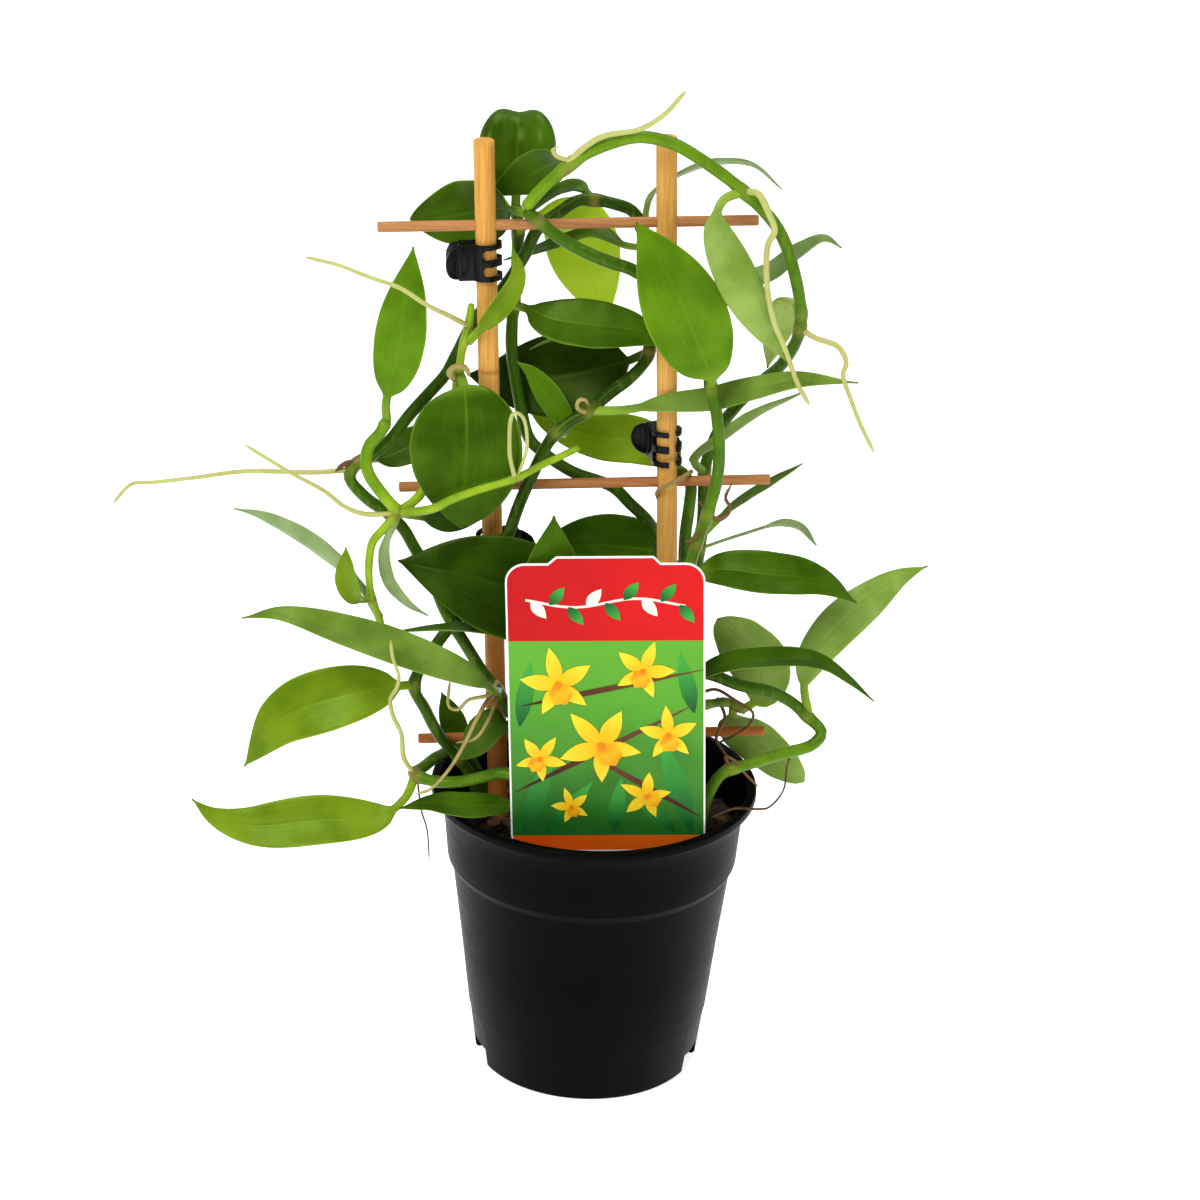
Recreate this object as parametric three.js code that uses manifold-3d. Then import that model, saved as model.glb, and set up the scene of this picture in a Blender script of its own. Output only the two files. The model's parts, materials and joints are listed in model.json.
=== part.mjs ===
// Potted vanilla orchid on a bamboo trellis. Millimetres, +Z up, -Y is the front.
// The origin is the middle of the pot's flat underside.
import * as THREE from "three";
import { mergeVertices } from "three/addons/utils/BufferGeometryUtils.js";
import Module from "manifold-3d";

const wasm = await Module();
wasm.setup();

// Driving sizes of the pot
const POT_HEIGHT = 112;
const LIP_RADIUS = 60;
const LIP_DEPTH = 3.2;
const NECK_RADIUS = 57.6;
const BAND_RADIUS = 55.2;
const BAND_DEPTH = 26;
const BAND_TAPER = 1.6;
const BAND_STEP = 1.5;
const FOOT_RADIUS = 41.8;
const FOOT_LINE = 20;
const FOOT_STEP = 0.5;
const WALL = 1.8;
const FLOOR = 2.4;
const POT_SIDES = 32;
const FOOT_SLOT = { width: 16, height: 8, degrees: [-108, -72, 72, 108] };
const DRAIN = { count: 6, radius: 3.5, ring: 22 };

// Driving sizes of the trellis
const CANE_RADIUS = 3.8;
const CANE_SPACING = 62.5;
const CANE_BOTTOM = 52;
const CANE_TOP = 356;
const CANE_SIDES = 12;
const STICK_RADIUS = 1.9;
const STICK_SIDES = 8;
const TRELLIS_LEAN = THREE.MathUtils.degToRad(2.2);
const TRELLIS_YAW = THREE.MathUtils.degToRad(2.8);

// Driving sizes of the plant
const STEM_RADIUS = 2.3;
const STEM_SIDES = 6;
const ROOT_SIDES = 4;
const LEAF_THICKNESS = 1.2;
const SOIL_LEVEL = 96;
const STEM_FOOT = 82;
const GAP = 0.3;

const UP = new THREE.Vector3(0, 0, 1);
const vec = (p) => new THREE.Vector3(...p);

const finish = (color, roughness) => new THREE.MeshStandardMaterial({ color, roughness, metalness: 0 });
const FINISH = {
  pot: finish(0x17181a, 0.45),
  bark: finish(0x2e2018, 0.95),
  cane: finish(0xd79a4e, 0.55),
  stick: finish(0xc08257, 0.65),
  clip: finish(0x0d0e10, 0.35),
  label: finish(0x3aa548, 0.35),
  stem: finish(0x3f6e28, 0.45),
  shoot: finish(0x83b53a, 0.45),
  leaf: finish(0x3f7d23, 0.4),
  youngLeaf: finish(0x7fb030, 0.4),
};

// Shared tools

/** Merge the shared corners of a geometry and keep only positions. */
function welded(geometry) {
  geometry.deleteAttribute("normal");
  geometry.deleteAttribute("uv");
  return mergeVertices(geometry, 1e-4);
}

/** Turn a closed geometry into a solid that can be joined or cut. */
function solidOf(geometry) {
  const g = welded(geometry.index ? geometry : geometry.clone());
  const vertProperties = new Float32Array(g.attributes.position.array);
  const triVerts = new Uint32Array(g.index.array);
  return new wasm.Manifold(new wasm.Mesh({ numProp: 3, vertProperties, triVerts }));
}

/** Turn a solid back into a geometry. */
function geometryOf(solid) {
  const mesh = solid.getMesh();
  const g = new THREE.BufferGeometry();
  g.setAttribute("position", new THREE.BufferAttribute(mesh.vertProperties.slice(), 3));
  g.setIndex(new THREE.BufferAttribute(mesh.triVerts.slice(), 1));
  g.computeVertexNormals();
  return g;
}

/** A closed skin over rings of points. Both faces of a blade are split along the same lines. */
function loft(rings) {
  const n = rings[0].length;
  const points = rings.flat();
  const faces = [];
  for (let i = 0; i < rings.length - 1; i++) {
    for (let k = 0; k < n; k++) {
      const a = i * n + k;
      const b = i * n + ((k + 1) % n);
      const c = b + n;
      const d = a + n;
      if (k < n / 2) faces.push(a, b, c, a, c, d);
      else faces.push(a, b, d, b, c, d);
    }
  }
  for (const [first, flip] of [[0, true], [(rings.length - 1) * n, false]]) {
    for (let k = 1; k < n / 2; k++) {
      const near = first + k - 1;
      const next = first + k;
      const far = first + n - 1 - k;
      const farther = first + n - k;
      const quad = [near, next, far, near, far, farther];
      if (flip) quad.reverse();
      faces.push(...quad);
    }
  }
  const g = new THREE.BufferGeometry();
  g.setAttribute("position", new THREE.Float32BufferAttribute(points.flatMap((p) => p.toArray()), 3));
  g.setIndex(faces);
  g.computeVertexNormals();
  return g;
}

/** Sample a smooth curve and carry a side vector along it without twist, from the middle outwards. */
function frames(curve, steps, face) {
  const at = [];
  for (let i = 0; i <= steps; i++) {
    const t = i / steps;
    at.push({ point: curve.getPointAt(t), tangent: curve.getTangentAt(t) });
  }
  const middle = Math.round(steps / 2);
  const square = (v, tangent) => v.clone().addScaledVector(tangent, -v.dot(tangent)).normalize();
  at[middle].normal = square(face, at[middle].tangent);
  for (let i = middle + 1; i <= steps; i++) at[i].normal = square(at[i - 1].normal, at[i].tangent);
  for (let i = middle - 1; i >= 0; i--) at[i].normal = square(at[i + 1].normal, at[i].tangent);
  for (const f of at) f.side = new THREE.Vector3().crossVectors(f.tangent, f.normal);
  return at;
}

const smoothCurve = (points) => new THREE.CatmullRomCurve3(points.map(vec), false, "centripetal");

/** A round rod along a curve. Its radius may change along its length. */
function rod(curve, radiusAt, steps, sides) {
  const rings = frames(curve, steps, new THREE.Vector3(0.31, -0.87, 0.42)).map((f, i) => {
    const radius = radiusAt(i / steps);
    return Array.from({ length: sides }, (_, k) => {
      const angle = (2 * Math.PI * k) / sides;
      return f.point.clone()
        .addScaledVector(f.normal, radius * Math.cos(angle))
        .addScaledVector(f.side, radius * Math.sin(angle));
    });
  });
  return loft(rings);
}

/** A cylinder between two points. */
function bar(from, to, radius, sides) {
  return rod(new THREE.LineCurve3(from, to), () => radius, 1, sides);
}

const orchid = new THREE.Group();

/** Add a named piece to the object. */
function add(name, geometry, material) {
  const mesh = new THREE.Mesh(geometry, material);
  mesh.name = name;
  orchid.add(mesh);
  return mesh;
}

// Pot

const UNDER_LIP = POT_HEIGHT - LIP_DEPTH;
const BAND_BOTTOM = UNDER_LIP - BAND_DEPTH;
const STEP_START = BAND_BOTTOM - 3;

/** Outer radius of the pot's tapered wall at a height under the band. */
function wallRadius(z) {
  return THREE.MathUtils.mapLinear(z, 0, BAND_BOTTOM, FOOT_RADIUS, BAND_RADIUS - BAND_STEP - BAND_TAPER);
}

/** The pot as one closed turning profile with foot slots and drain holes. */
function pot() {
  const edge = 0.6;
  const flareStart = UNDER_LIP - 8;
  const flareEnd = UNDER_LIP - 2.5;
  const profile = [
    [0, 0], [FOOT_RADIUS - 1, 0], [FOOT_RADIUS, 1],
    [wallRadius(FOOT_LINE), FOOT_LINE], [wallRadius(FOOT_LINE) + FOOT_STEP, FOOT_LINE + 1.5],
    [wallRadius(STEP_START), STEP_START], [BAND_RADIUS - BAND_TAPER, BAND_BOTTOM],
    [BAND_RADIUS, flareStart], [NECK_RADIUS - 1, flareEnd], [LIP_RADIUS, UNDER_LIP],
    [LIP_RADIUS, POT_HEIGHT - edge], [LIP_RADIUS - edge, POT_HEIGHT], [NECK_RADIUS - edge, POT_HEIGHT],
    [NECK_RADIUS - WALL, UNDER_LIP], [BAND_RADIUS - WALL, flareStart],
    [BAND_RADIUS - BAND_TAPER - WALL, BAND_BOTTOM], [wallRadius(STEP_START) - WALL, STEP_START],
    [FOOT_RADIUS - WALL, FLOOR], [0, FLOOR],
  ].map(([r, z]) => new THREE.Vector2(r, z));
  let solid = solidOf(new THREE.LatheGeometry(profile, POT_SIDES).rotateX(Math.PI / 2));
  for (const degrees of FOOT_SLOT.degrees) {
    const slot = new THREE.BoxGeometry(FOOT_SLOT.width, 16, 2 * FOOT_SLOT.height);
    slot.translate(0, -FOOT_RADIUS, 0).rotateZ(THREE.MathUtils.degToRad(degrees));
    solid = solid.subtract(solidOf(slot));
  }
  for (let k = 0; k < DRAIN.count; k++) {
    const angle = (2 * Math.PI * k) / DRAIN.count;
    const hole = new THREE.CylinderGeometry(DRAIN.radius, DRAIN.radius, 3 * FLOOR, 10).rotateX(Math.PI / 2);
    hole.translate(DRAIN.ring * Math.cos(angle), DRAIN.ring * Math.sin(angle), 0);
    solid = solid.subtract(solidOf(hole));
  }
  return geometryOf(solid);
}

// Trellis

/** A point in the trellis: across it, and up along it. It leans left and its right side turns away. */
function trellisPoint(across, up, forward = 0) {
  const x = across * Math.cos(TRELLIS_LEAN) - up * Math.sin(TRELLIS_LEAN);
  const z = across * Math.sin(TRELLIS_LEAN) + up * Math.cos(TRELLIS_LEAN);
  return new THREE.Vector3(
    x * Math.cos(TRELLIS_YAW) + forward * Math.sin(TRELLIS_YAW),
    x * Math.sin(TRELLIS_YAW) - forward * Math.cos(TRELLIS_YAW),
    z,
  );
}

const RUNGS = [
  { name: "stick_bottom", height: 130.3, from: -60, to: 67 },
  { name: "stick_middle", height: 229.4, from: -64, to: 68 },
  { name: "stick_top", height: 325.6, from: -68.5, to: 63 },
];

/** A cane with a drilled hole for each stick. */
function cane(across) {
  const low = trellisPoint(across, CANE_BOTTOM);
  const high = trellisPoint(across, CANE_TOP);
  let solid = solidOf(bar(low, high, CANE_RADIUS, CANE_SIDES));
  const reach = 2 * CANE_RADIUS;
  for (const rung of RUNGS) {
    const from = trellisPoint(across - reach, rung.height);
    const to = trellisPoint(across + reach, rung.height);
    solid = solid.subtract(solidOf(bar(from, to, STICK_RADIUS + GAP, STICK_SIDES)));
  }
  return geometryOf(solid);
}

// Clips

// reach is from the cane's middle to the hinge pin, and tab from the pin to the finger grip.
const CLIP = {
  height: 13, arm: 1.3, knuckle: 1.7, pin: 0.8, reach: 8.2, tab: 5, notch: 1.95, notchAt: 3,
};

// opens is the side of the jaw that moves: 1 or -1.
const CLIPS = [
  { name: "clip_left_upper", across: -CANE_SPACING / 2, up: 313, turn: 0, opens: 1 },
  { name: "clip_right", across: CANE_SPACING / 2, up: 243, turn: 64, opens: 1 },
  { name: "clip_left_lower", across: -CANE_SPACING / 2, up: 205, turn: 152, opens: -1 },
];

/** The outline of one jaw seen from above: finger tab, hinge knuckle and curved prong. */
function jawOutline(hand) {
  const inner = CANE_RADIUS + GAP + 0.1;
  const outer = inner + CLIP.arm;
  const shape = new THREE.Shape();
  const at = (r, degrees) => {
    const angle = THREE.MathUtils.degToRad(degrees);
    return [r * Math.cos(angle), hand * r * Math.sin(angle)];
  };
  const start = [-CLIP.reach, hand * 0.25];
  shape.moveTo(...start);
  for (let d = 168; d >= 24; d -= 24) shape.lineTo(...at(inner, d));
  shape.lineTo(...at(inner + 0.2, 18));
  shape.lineTo(...at(outer + 0.5, 22));
  for (let d = 48; d <= 144; d += 24) shape.lineTo(...at(outer, d));
  shape.lineTo(-CLIP.reach + 1.2, hand * 3.2);
  shape.lineTo(-CLIP.reach - 2.2, hand * 3.4);
  shape.lineTo(-CLIP.reach - CLIP.tab, hand * 6.4);
  shape.lineTo(-CLIP.reach - CLIP.tab - 0.9, hand * 5.4);
  shape.lineTo(-CLIP.reach - 2.6, hand * 2.1);
  return shape;
}

/** The room that a jaw keeps to: all of its arm, and an oval where its finger tab is. */
function tabBound() {
  const { height, reach, tab } = CLIP;
  const arm = new THREE.BoxGeometry(40, 60, height).translate(20 - reach - 1.4, 0, 0);
  const oval = new THREE.CylinderGeometry(1, 1, 60, 16);
  oval.scale(tab, 1, height / 2 - 0.4).translate(-reach - 1, 0, 0);
  return solidOf(arm).add(solidOf(oval));
}

/** One jaw: the extruded outline cut into prongs, with its share of the hinge. */
function jaw(hand, carriesPin) {
  const { height, knuckle, pin, reach } = CLIP;
  const plate = new THREE.ExtrudeGeometry(jawOutline(hand), { depth: height, bevelEnabled: false });
  let solid = solidOf(plate.translate(0, 0, -height / 2));
  for (const z of [-CLIP.notchAt, CLIP.notchAt]) {
    const root = new THREE.CylinderGeometry(CLIP.notch, CLIP.notch, 22, 8).rotateY(Math.PI / 8);
    const notch = new THREE.BoxGeometry(7, 22, 1.85 * CLIP.notch);
    solid = solid.subtract(solidOf(root.translate(0.6, hand * 11.5, z)));
    solid = solid.subtract(solidOf(notch.translate(3.9, hand * 11.5, z)));
  }
  solid = solid.intersect(tabBound());
  const round = (radius, depth, z) => solidOf(
    new THREE.CylinderGeometry(radius, radius, depth, 8).rotateX(Math.PI / 2).translate(-reach, 0, z),
  );
  const third = height / 3;
  if (carriesPin) {
    solid = solid.subtract(round(knuckle + GAP, third + 0.8, 0));
    for (const z of [-third, third]) solid = solid.add(round(knuckle, third - 0.4, z));
    return solid.add(round(pin, height, 0));
  }
  solid = solid.subtract(round(knuckle + GAP, third + 0.4, third + 0.2));
  solid = solid.subtract(round(knuckle + GAP, third + 0.4, -third - 0.2));
  return solid.add(round(knuckle, third - 0.2, 0)).subtract(round(pin + GAP, 2 * height, 0));
}

/** The turn and place that carry a clip onto its cane. */
function clipPlace(clip) {
  const place = new THREE.Matrix4().makeRotationZ(-THREE.MathUtils.degToRad(clip.turn) + TRELLIS_YAW);
  const along = trellisPoint(clip.across, clip.up + 1).sub(trellisPoint(clip.across, clip.up));
  const tilt = new THREE.Quaternion().setFromUnitVectors(UP, along.normalize());
  place.premultiply(new THREE.Matrix4().makeRotationFromQuaternion(tilt));
  return place.premultiply(new THREE.Matrix4().setPosition(trellisPoint(clip.across, clip.up)));
}

// Plant label

const LABEL = {
  width: 70, low: 101, high: 213.5, corner: 7, rise: 2.6, thickness: 0.8, tipHeight: 46, stake: 14,
  middle: 6, front: -35, lean: THREE.MathUtils.degToRad(-2.4),
};

/** The label: a rounded card with a raised tab on top and a pointed stake below. */
function plantLabel() {
  const { low, high, corner, rise, thickness, tipHeight, stake } = LABEL;
  const half = LABEL.width / 2;
  const card = new THREE.Shape();
  card.moveTo(-half + corner, low);
  card.lineTo(-stake / 2 - 4, low);
  card.lineTo(-stake / 2, low - 6);
  card.lineTo(-stake / 2, tipHeight + 10);
  card.lineTo(0, tipHeight);
  card.lineTo(stake / 2, tipHeight + 10);
  card.lineTo(stake / 2, low - 6);
  card.lineTo(stake / 2 + 4, low);
  card.lineTo(half - corner, low);
  card.absarc(half - corner, low + corner, corner, -Math.PI / 2, 0, false);
  card.absarc(half - corner, high - corner, corner, 0, Math.PI / 2, false);
  card.lineTo(19.5, high);
  card.lineTo(17, high + rise);
  card.lineTo(-17, high + rise);
  card.lineTo(-20, high);
  card.absarc(-half + corner, high - corner, corner, Math.PI / 2, Math.PI, false);
  card.absarc(-half + corner, low + corner, corner, Math.PI, 1.5 * Math.PI, false);
  const settings = { depth: thickness, bevelEnabled: false, curveSegments: 3 };
  const plate = new THREE.ExtrudeGeometry(card, settings);
  plate.translate(0, -low, 0).rotateX(Math.PI / 2).rotateY(LABEL.lean);
  return plate.translate(LABEL.middle, LABEL.front, low);
}

// Stems
// Each stem is one smooth run through its points.

const STEMS = {
  arch: {
    material: "shoot", steps: 34,
    path: [
      [-30, -9, 333], [-23, -11, 342], [-11, -13, 353], [-1, -13, 358], [8, -12, 360], [19, -11, 358],
      [31, -13, 352], [44, -15, 343], [56, -16, 331], [63, -15, 314], [66, -12, 294], [61, -6, 279],
      [54, 1, 269], [46, 6, 258], [40, 9, 247], [36, 9, 233], [36, 9, 215], [35, 9, 194], [37, 8, 150],
      [38, 6, STEM_FOOT],
    ],
  },
  right: {
    material: "stem", steps: 24,
    path: [
      [-25, -9, 328], [-18, -10, 323], [-8, -11, 318], [0, -11, 315], [8, -10, 312], [21, -9, 302],
      [32, -10, 288], [36, -13, 272], [39, -14, 259], [40, -13, 241], [37, -11, 223], [33, -9, 209],
      [31, -9, 196], [30, -7, 165], [26, -6, 120], [23, -7, STEM_FOOT],
    ],
  },
  left: {
    material: "stem", steps: 66,
    path: [
      [-40, 2, STEM_FOOT], [-44, 0, 108], [-50, -4, 121], [-57, -10, 133], [-62, -12, 144], [-66, -13, 154],
      [-58, -9, 169], [-50, -6, 179], [-43, -9, 188], [-35, -11, 207], [-30, -9, 223], [-25, -9, 236],
      [-19, -9, 249], [-13, -8, 255], [-6, -6, 259], [2, -2, 265], [8, 1, 269], [14, 5, 276], [14, 9, 288],
      [12, 10, 306], [11, 10, 319], [7, 10, 327], [0, 9, 330], [-6, 9, 331], [-12, 8, 331], [-18, 8, 327],
      [-26, 8, 320], [-30, 8, 311], [-37, 8, 299], [-47, 7, 287], [-53, 5, 275], [-57, 4, 267],
      [-62, 3, 261], [-70, 0, 252], [-76, -2, 244], [-83, -3, 238], [-89, -4, 234], [-90, -5, 230],
      [-84, -6, 223], [-77, -6, 218], [-71, -6, 212], [-67, -8, 206], [-60, -10, 194], [-55, -11, 182],
      [-48, -11, 170], [-42, -11, 160], [-34, -10, 148], [-24, -7, 125], [-19, -3, STEM_FOOT],
    ],
  },
  inner: {
    material: "stem", steps: 22,
    path: [
      [-34, 16, 326], [-33, 15.5, 319], [-33, 15, 311], [-33, 14, 300], [-34, 10, 288], [-34, 7, 276],
      [-31, 6, 258], [-27, 6, 243], [-22, 6, 238], [-15, 6, 233], [-10, 7, 230], [3, 8, 225], [10, 9, 218],
      [16, 12, 211], [20, 15, 203], [21, 17, 190], [12, 22, STEM_FOOT],
    ],
  },
  clipped: {
    material: "stem", steps: 12,
    path: [
      [25, 9, 232], [28, 8.5, 231], [31, 7.5, 227], [31, 7, 221], [30, 9, 207], [30, 13, 190],
      [27, 19, STEM_FOOT],
    ],
  },
  lowLeft: {
    material: "stem", steps: 20,
    path: [
      [-15, -31, STEM_FOOT], [-19, -31, 112], [-25, -31, 126], [-33, -30, 128], [-41, -28, 125],
      [-49, -26, 122], [-58, -24, 121], [-65, -21, 122], [-62, -12, 121], [-58, -2, 120], [-51, 8, 118],
      [-44, 15, 107], [-40, 18, STEM_FOOT],
    ],
  },
  lowRight: {
    material: "stem", steps: 24,
    path: [
      [4, -20, STEM_FOOT], [8, -18, 130], [18, -15, 158], [37, -12, 162], [52, -11, 157], [63, -9, 154],
      [71, -7, 149], [77, -8, 144], [82, -10, 139], [79, -12, 135], [67, -15, 132], [57, -17, 129],
      [46, -19, 125], [40, -22, 112], [37, -22, STEM_FOOT],
    ],
  },
  shoot: {
    material: "shoot", steps: 8,
    path: [
      [-77, -7, 253], [-79, -8, 249], [-83, -9, 244], [-84, -10, 239], [-83, -12, 235], [-79, -13, 229],
      [-72, -14, 221],
    ],
  },
};

// Side growth that is one body with a stem: side shoots, small leaves and aerial roots.
const SIDE_STEMS = [
  { stem: "shoot", radius: 1.7, steps: 12, path: [
    [-72, -14, 221], [-60, -19, 225], [-53, -22, 230], [-43, -24, 235], [-31, -23, 239], [-21, -18, 243],
    [-15, -15, 245], [-9, -14, 248]] },
  { stem: "shoot", radius: 1.7, steps: 9, path: [
    [-72, -14, 221], [-78, -17, 215], [-81, -18, 211], [-82, -19, 205], [-82, -20, 198], [-81, -20, 191],
    [-79, -20, 185], [-77, -19, 178]] },
  { stem: "shoot", radius: 1.9, steps: 12, path: [
    [-72, -14, 221], [-65, -9, 226], [-58, -5, 240], [-54, -4, 257], [-52, -4, 271], [-51, -4, 279],
    [-49, -4, 288], [-48, -4, 296]] },
  { stem: "lowRight", radius: 2.1, steps: 7, path: [
    [9, -18, 140], [22, -15, 145], [31, -13, 147], [41, -6, 147], [48, 0, 145], [54, 2, 141]] },
];

const ROOTS = [
  { stem: "shoot", radius: 1.0, path: [
    [-49, -4, 288], [-55, -12, 294], [-63, -18, 300], [-72, -19, 306], [-83, -17, 309], [-93, -15, 312],
    [-105, -13, 314]] },
  { stem: "shoot", radius: 1.0, path: [
    [-72, -14, 221], [-84, -16, 221], [-91, -17, 224], [-98, -18, 230], [-109, -18, 236],
    [-126, -17, 246]] },
  { stem: "left", radius: 1.0, path: [
    [-89, -4, 233], [-102, -8, 233], [-127, -12, 234], [-143, -14, 232], [-158, -15, 230],
    [-166, -15, 229], [-173, -14, 221]] },
  { stem: "arch", radius: 1.2, path: [
    [-17, -13, 349], [-11, -15, 356], [-4, -16, 361], [8, -15, 363.5], [16, -16, 369], [23, -18, 378]] },
  { stem: "arch", radius: 1.3, path: [
    [45, -15, 343], [49, -21, 344], [53, -22, 337], [55, -21, 331], [53, -22, 327], [53, -25, 315],
    [56, -26, 301], [60, -26, 292], [66, -25, 277], [70, -23, 270]] },
  { stem: "arch", radius: 1.1, path: [
    [66, -12, 294], [71, -16, 292], [79, -19, 290], [82, -21, 285], [81, -22, 281], [84, -24, 273],
    [88, -26, 264], [93, -28, 255]] },
  { stem: "shoot", radius: 0.9, path: [
    [-31, -23, 239], [-33, -26, 250], [-32, -25, 264], [-29, -25, 263], [-27, -26, 253], [-30, -23, 240]] },
  { stem: "lowLeft", radius: 1.0, path: [
    [-65, -21, 122], [-69, -22, 129], [-70, -21, 138], [-73, -21, 145], [-74, -23, 152], [-71, -33, 162],
    [-70, -41, 171], [-72, -41, 177], [-73, -39, 183]] },
  { stem: "right", radius: 0.9, path: [
    [36, -11, 223], [42, -12, 222], [45, -12, 226], [43, -12, 230], [45, -11, 235]] },
];

// Leaves
// A leaf is given by its midrib from the petiole's root to the tip, its greatest width, the way its upper
// side looks at mid-length, and how strongly its halves are raised like a channel.

const LEAVES = [
  { name: "leaf_top_left", stem: "arch", width: 15, face: [0.1, -0.97, 0.15], cup: 0.1, petiole: 0.03,
    path: [
    [-17, -10, 350], [-21, -2, 347], [-28, 6, 341], [-36, 11, 335], [-44, 13, 330]] },
  { name: "leaf_top_round", stem: "right", width: 24, face: [0, -1, 0.05],
    cup: 0.08, petiole: 0.22, tip: 0.8,
    path: [
    [-25, -9, 328.5], [-31, -4, 329.5], [-38, 5, 328], [-50, 13, 324], [-61, 15.5, 321],
    [-71, 17, 319.5]] },
  { name: "leaf_crown", stem: "inner", width: 27, face: [0, -1, 0.5], cup: 0.85, roll: 0.9, petiole: 0.05,
    path: [
    [-34, 16, 325], [-34, 20, 332], [-34, 22, 341], [-34, 24, 348], [-34, 28, 353], [-34, 34, 354],
    [-34, 40, 351]] },
  { name: "leaf_top_arch", stem: "left", width: 11, face: [0.2, 0.1, 1], cup: 0.25, path: [
    [11, 10, 322], [13, 10, 333], [21, 9, 340], [35, 7, 346], [48, 6, 346], [58, 6, 338]] },
  { name: "leaf_long_right", stem: "left", width: 9.5, face: [0, -0.75, 0.65], cup: 0.4, path: [
    [-6, -6, 259], [4, -8, 260], [20, -5.5, 262], [37, -5.5, 264], [52, -12, 271], [67, -15, 276],
    [87, -13, 275]] },
  { name: "leaf_right_kinked", stem: "arch", width: 11, face: [-0.5, 0.55, 0.65], cup: 0.3, path: [
    [36, 9, 231], [32, -1, 240], [41, -5, 249], [54, -6, 260], [69, -7, 269]] },
  { name: "leaf_front_right", stem: "right", width: 28.5, face: [-0.1, -0.95, 0.25],
    cup: 0.12, petiole: 0.05,
    path: [
    [36, -13, 271], [36, -18, 277], [32, -20, 287], [24, -20, 305], [15, -18, 321], [8, -15, 331]] },
  { name: "leaf_hanging", stem: "arch", width: 14.5, face: [-0.25, 0.85, 0.3], cup: 0.15, path: [
    [44, -15, 343], [37, -20, 341], [35, -23, 334], [42, -25, 317], [52, -24, 299], [61, -21, 285]] },
  { name: "leaf_pale_right", stem: "arch", width: 12, face: [0.2, -0.9, 0.1], cup: 0.12, path: [
    [66, -12, 300], [62, -2, 301], [59, 3, 289], [56, 2, 274]] },
  { name: "leaf_upper_right", stem: "right", width: 10.5, face: [-0.1, -0.3, 0.9], cup: 0.3, path: [
    [33, -11, 286], [37, 0, 294], [44, 6, 302], [56, 9, 306], [66, 10, 315], [74, 9, 320], [80, 8, 317]] },
  { name: "leaf_inner_upper", stem: "inner", width: 18, face: [0, -0.75, 0.6], cup: 0.2, path: [
    [-34, 11, 291], [-29, 2, 293], [-20, -3, 291], [-6, -5, 290], [8, -6, 289], [23, -7, 285]] },
  { name: "leaf_inner_dark", stem: "left", width: 30, face: [0, -0.9, 0.4], cup: 0.15, path: [
    [14, 6, 277], [5, 14, 270], [-17, 18, 263], [-38, 18, 261], [-50, 16, 263]] },
  { name: "leaf_small_bright", stem: "left", width: 9.5, face: [-0.3, -0.8, 0.4], cup: 0.3, path: [
    [-17, -8.5, 251], [-14.5, -3, 249], [-15, -1, 254], [-18, -1, 259], [-22, -1, 265],
    [-27, -1, 271], [-32, 0, 274]] },
  { name: "leaf_inner_right", stem: "clipped", width: 18, face: [0, -0.85, 0.4], cup: 0.15,
    petiole: 0.08, path: [
    [25, 9, 232], [26, 17, 231], [22, 23, 233], [12, 26, 236], [-1, 27, 237], [-12, 26, 239.5],
    [-22, 25, 243.5], [-29, 24, 249]] },
  { name: "leaf_left_round", stem: "shoot", width: 40, face: [-0.1, -0.95, 0.35],
    cup: 0.08, petiole: 0.06, tip: 0.8,
    path: [[-52, -4, 271], [-50, -9, 268], [-48.5, -13, 252], [-49, -15, 233], [-50, -14, 216]] },
  { name: "leaf_behind_cane", stem: "shoot", width: 11, face: [0, -0.8, 0.4], cup: 0.2, path: [
    [-71, -14, 221], [-65, -9, 218], [-58, 1, 213], [-52, 8, 212], [-43, 12, 215], [-33, 16, 220]] },
  { name: "leaf_left_upright", stem: "shoot", width: 18.5, face: [-0.2, -0.9, 0.3], cup: 0.18, path: [
    [-77, -7, 253], [-77, -10, 261], [-72.5, -13, 281], [-69.5, -12, 303], [-68, -10, 318]] },
  { name: "leaf_over_cane", stem: "shoot", width: 8, face: [0.5, -0.6, 0.5], cup: 0.5, path: [
    [-49, -4, 282], [-43, -10, 291], [-36, -11, 301], [-32, -11, 310], [-34, -9, 319]] },
  { name: "leaf_back_pale", stem: "inner", width: 26, face: [0, -1, 0.2], cup: 0.1, path: [
    [-33, 13, 317], [-23, 23, 322], [-14, 29, 316], [-8, 31, 300], [-1, 31, 278]] },
  { name: "leaf_back_flat", stem: "left", width: 11, face: [0, -0.15, 1], cup: 0.25, path: [
    [11, 10, 314], [4, 16, 313], [-6, 19, 316], [-18, 21, 311], [-38, 22, 304]] },
  { name: "leaf_left_grey", stem: "shoot", width: 8, face: [-0.35, 0.7, 0.55], cup: 0.3, path: [
    [-78, -20, 183], [-86, -15, 194], [-104, -12, 208], [-121, -13, 218], [-130, -15, 221]] },
  { name: "leaf_front_long", stem: "left", width: 13.5, face: [0.1, -0.7, 0.7], cup: 0.3, path: [
    [-35, -10, 151], [-37, -22, 157], [-43, -28, 164], [-63, -33, 174], [-88, -34, 183], [-112, -33, 189],
    [-126, -31, 186]] },
  { name: "leaf_left_drooping", stem: "left", width: 23, face: [-0.1, -0.85, 0.5], cup: 0.15, petiole: 0.05,
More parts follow.
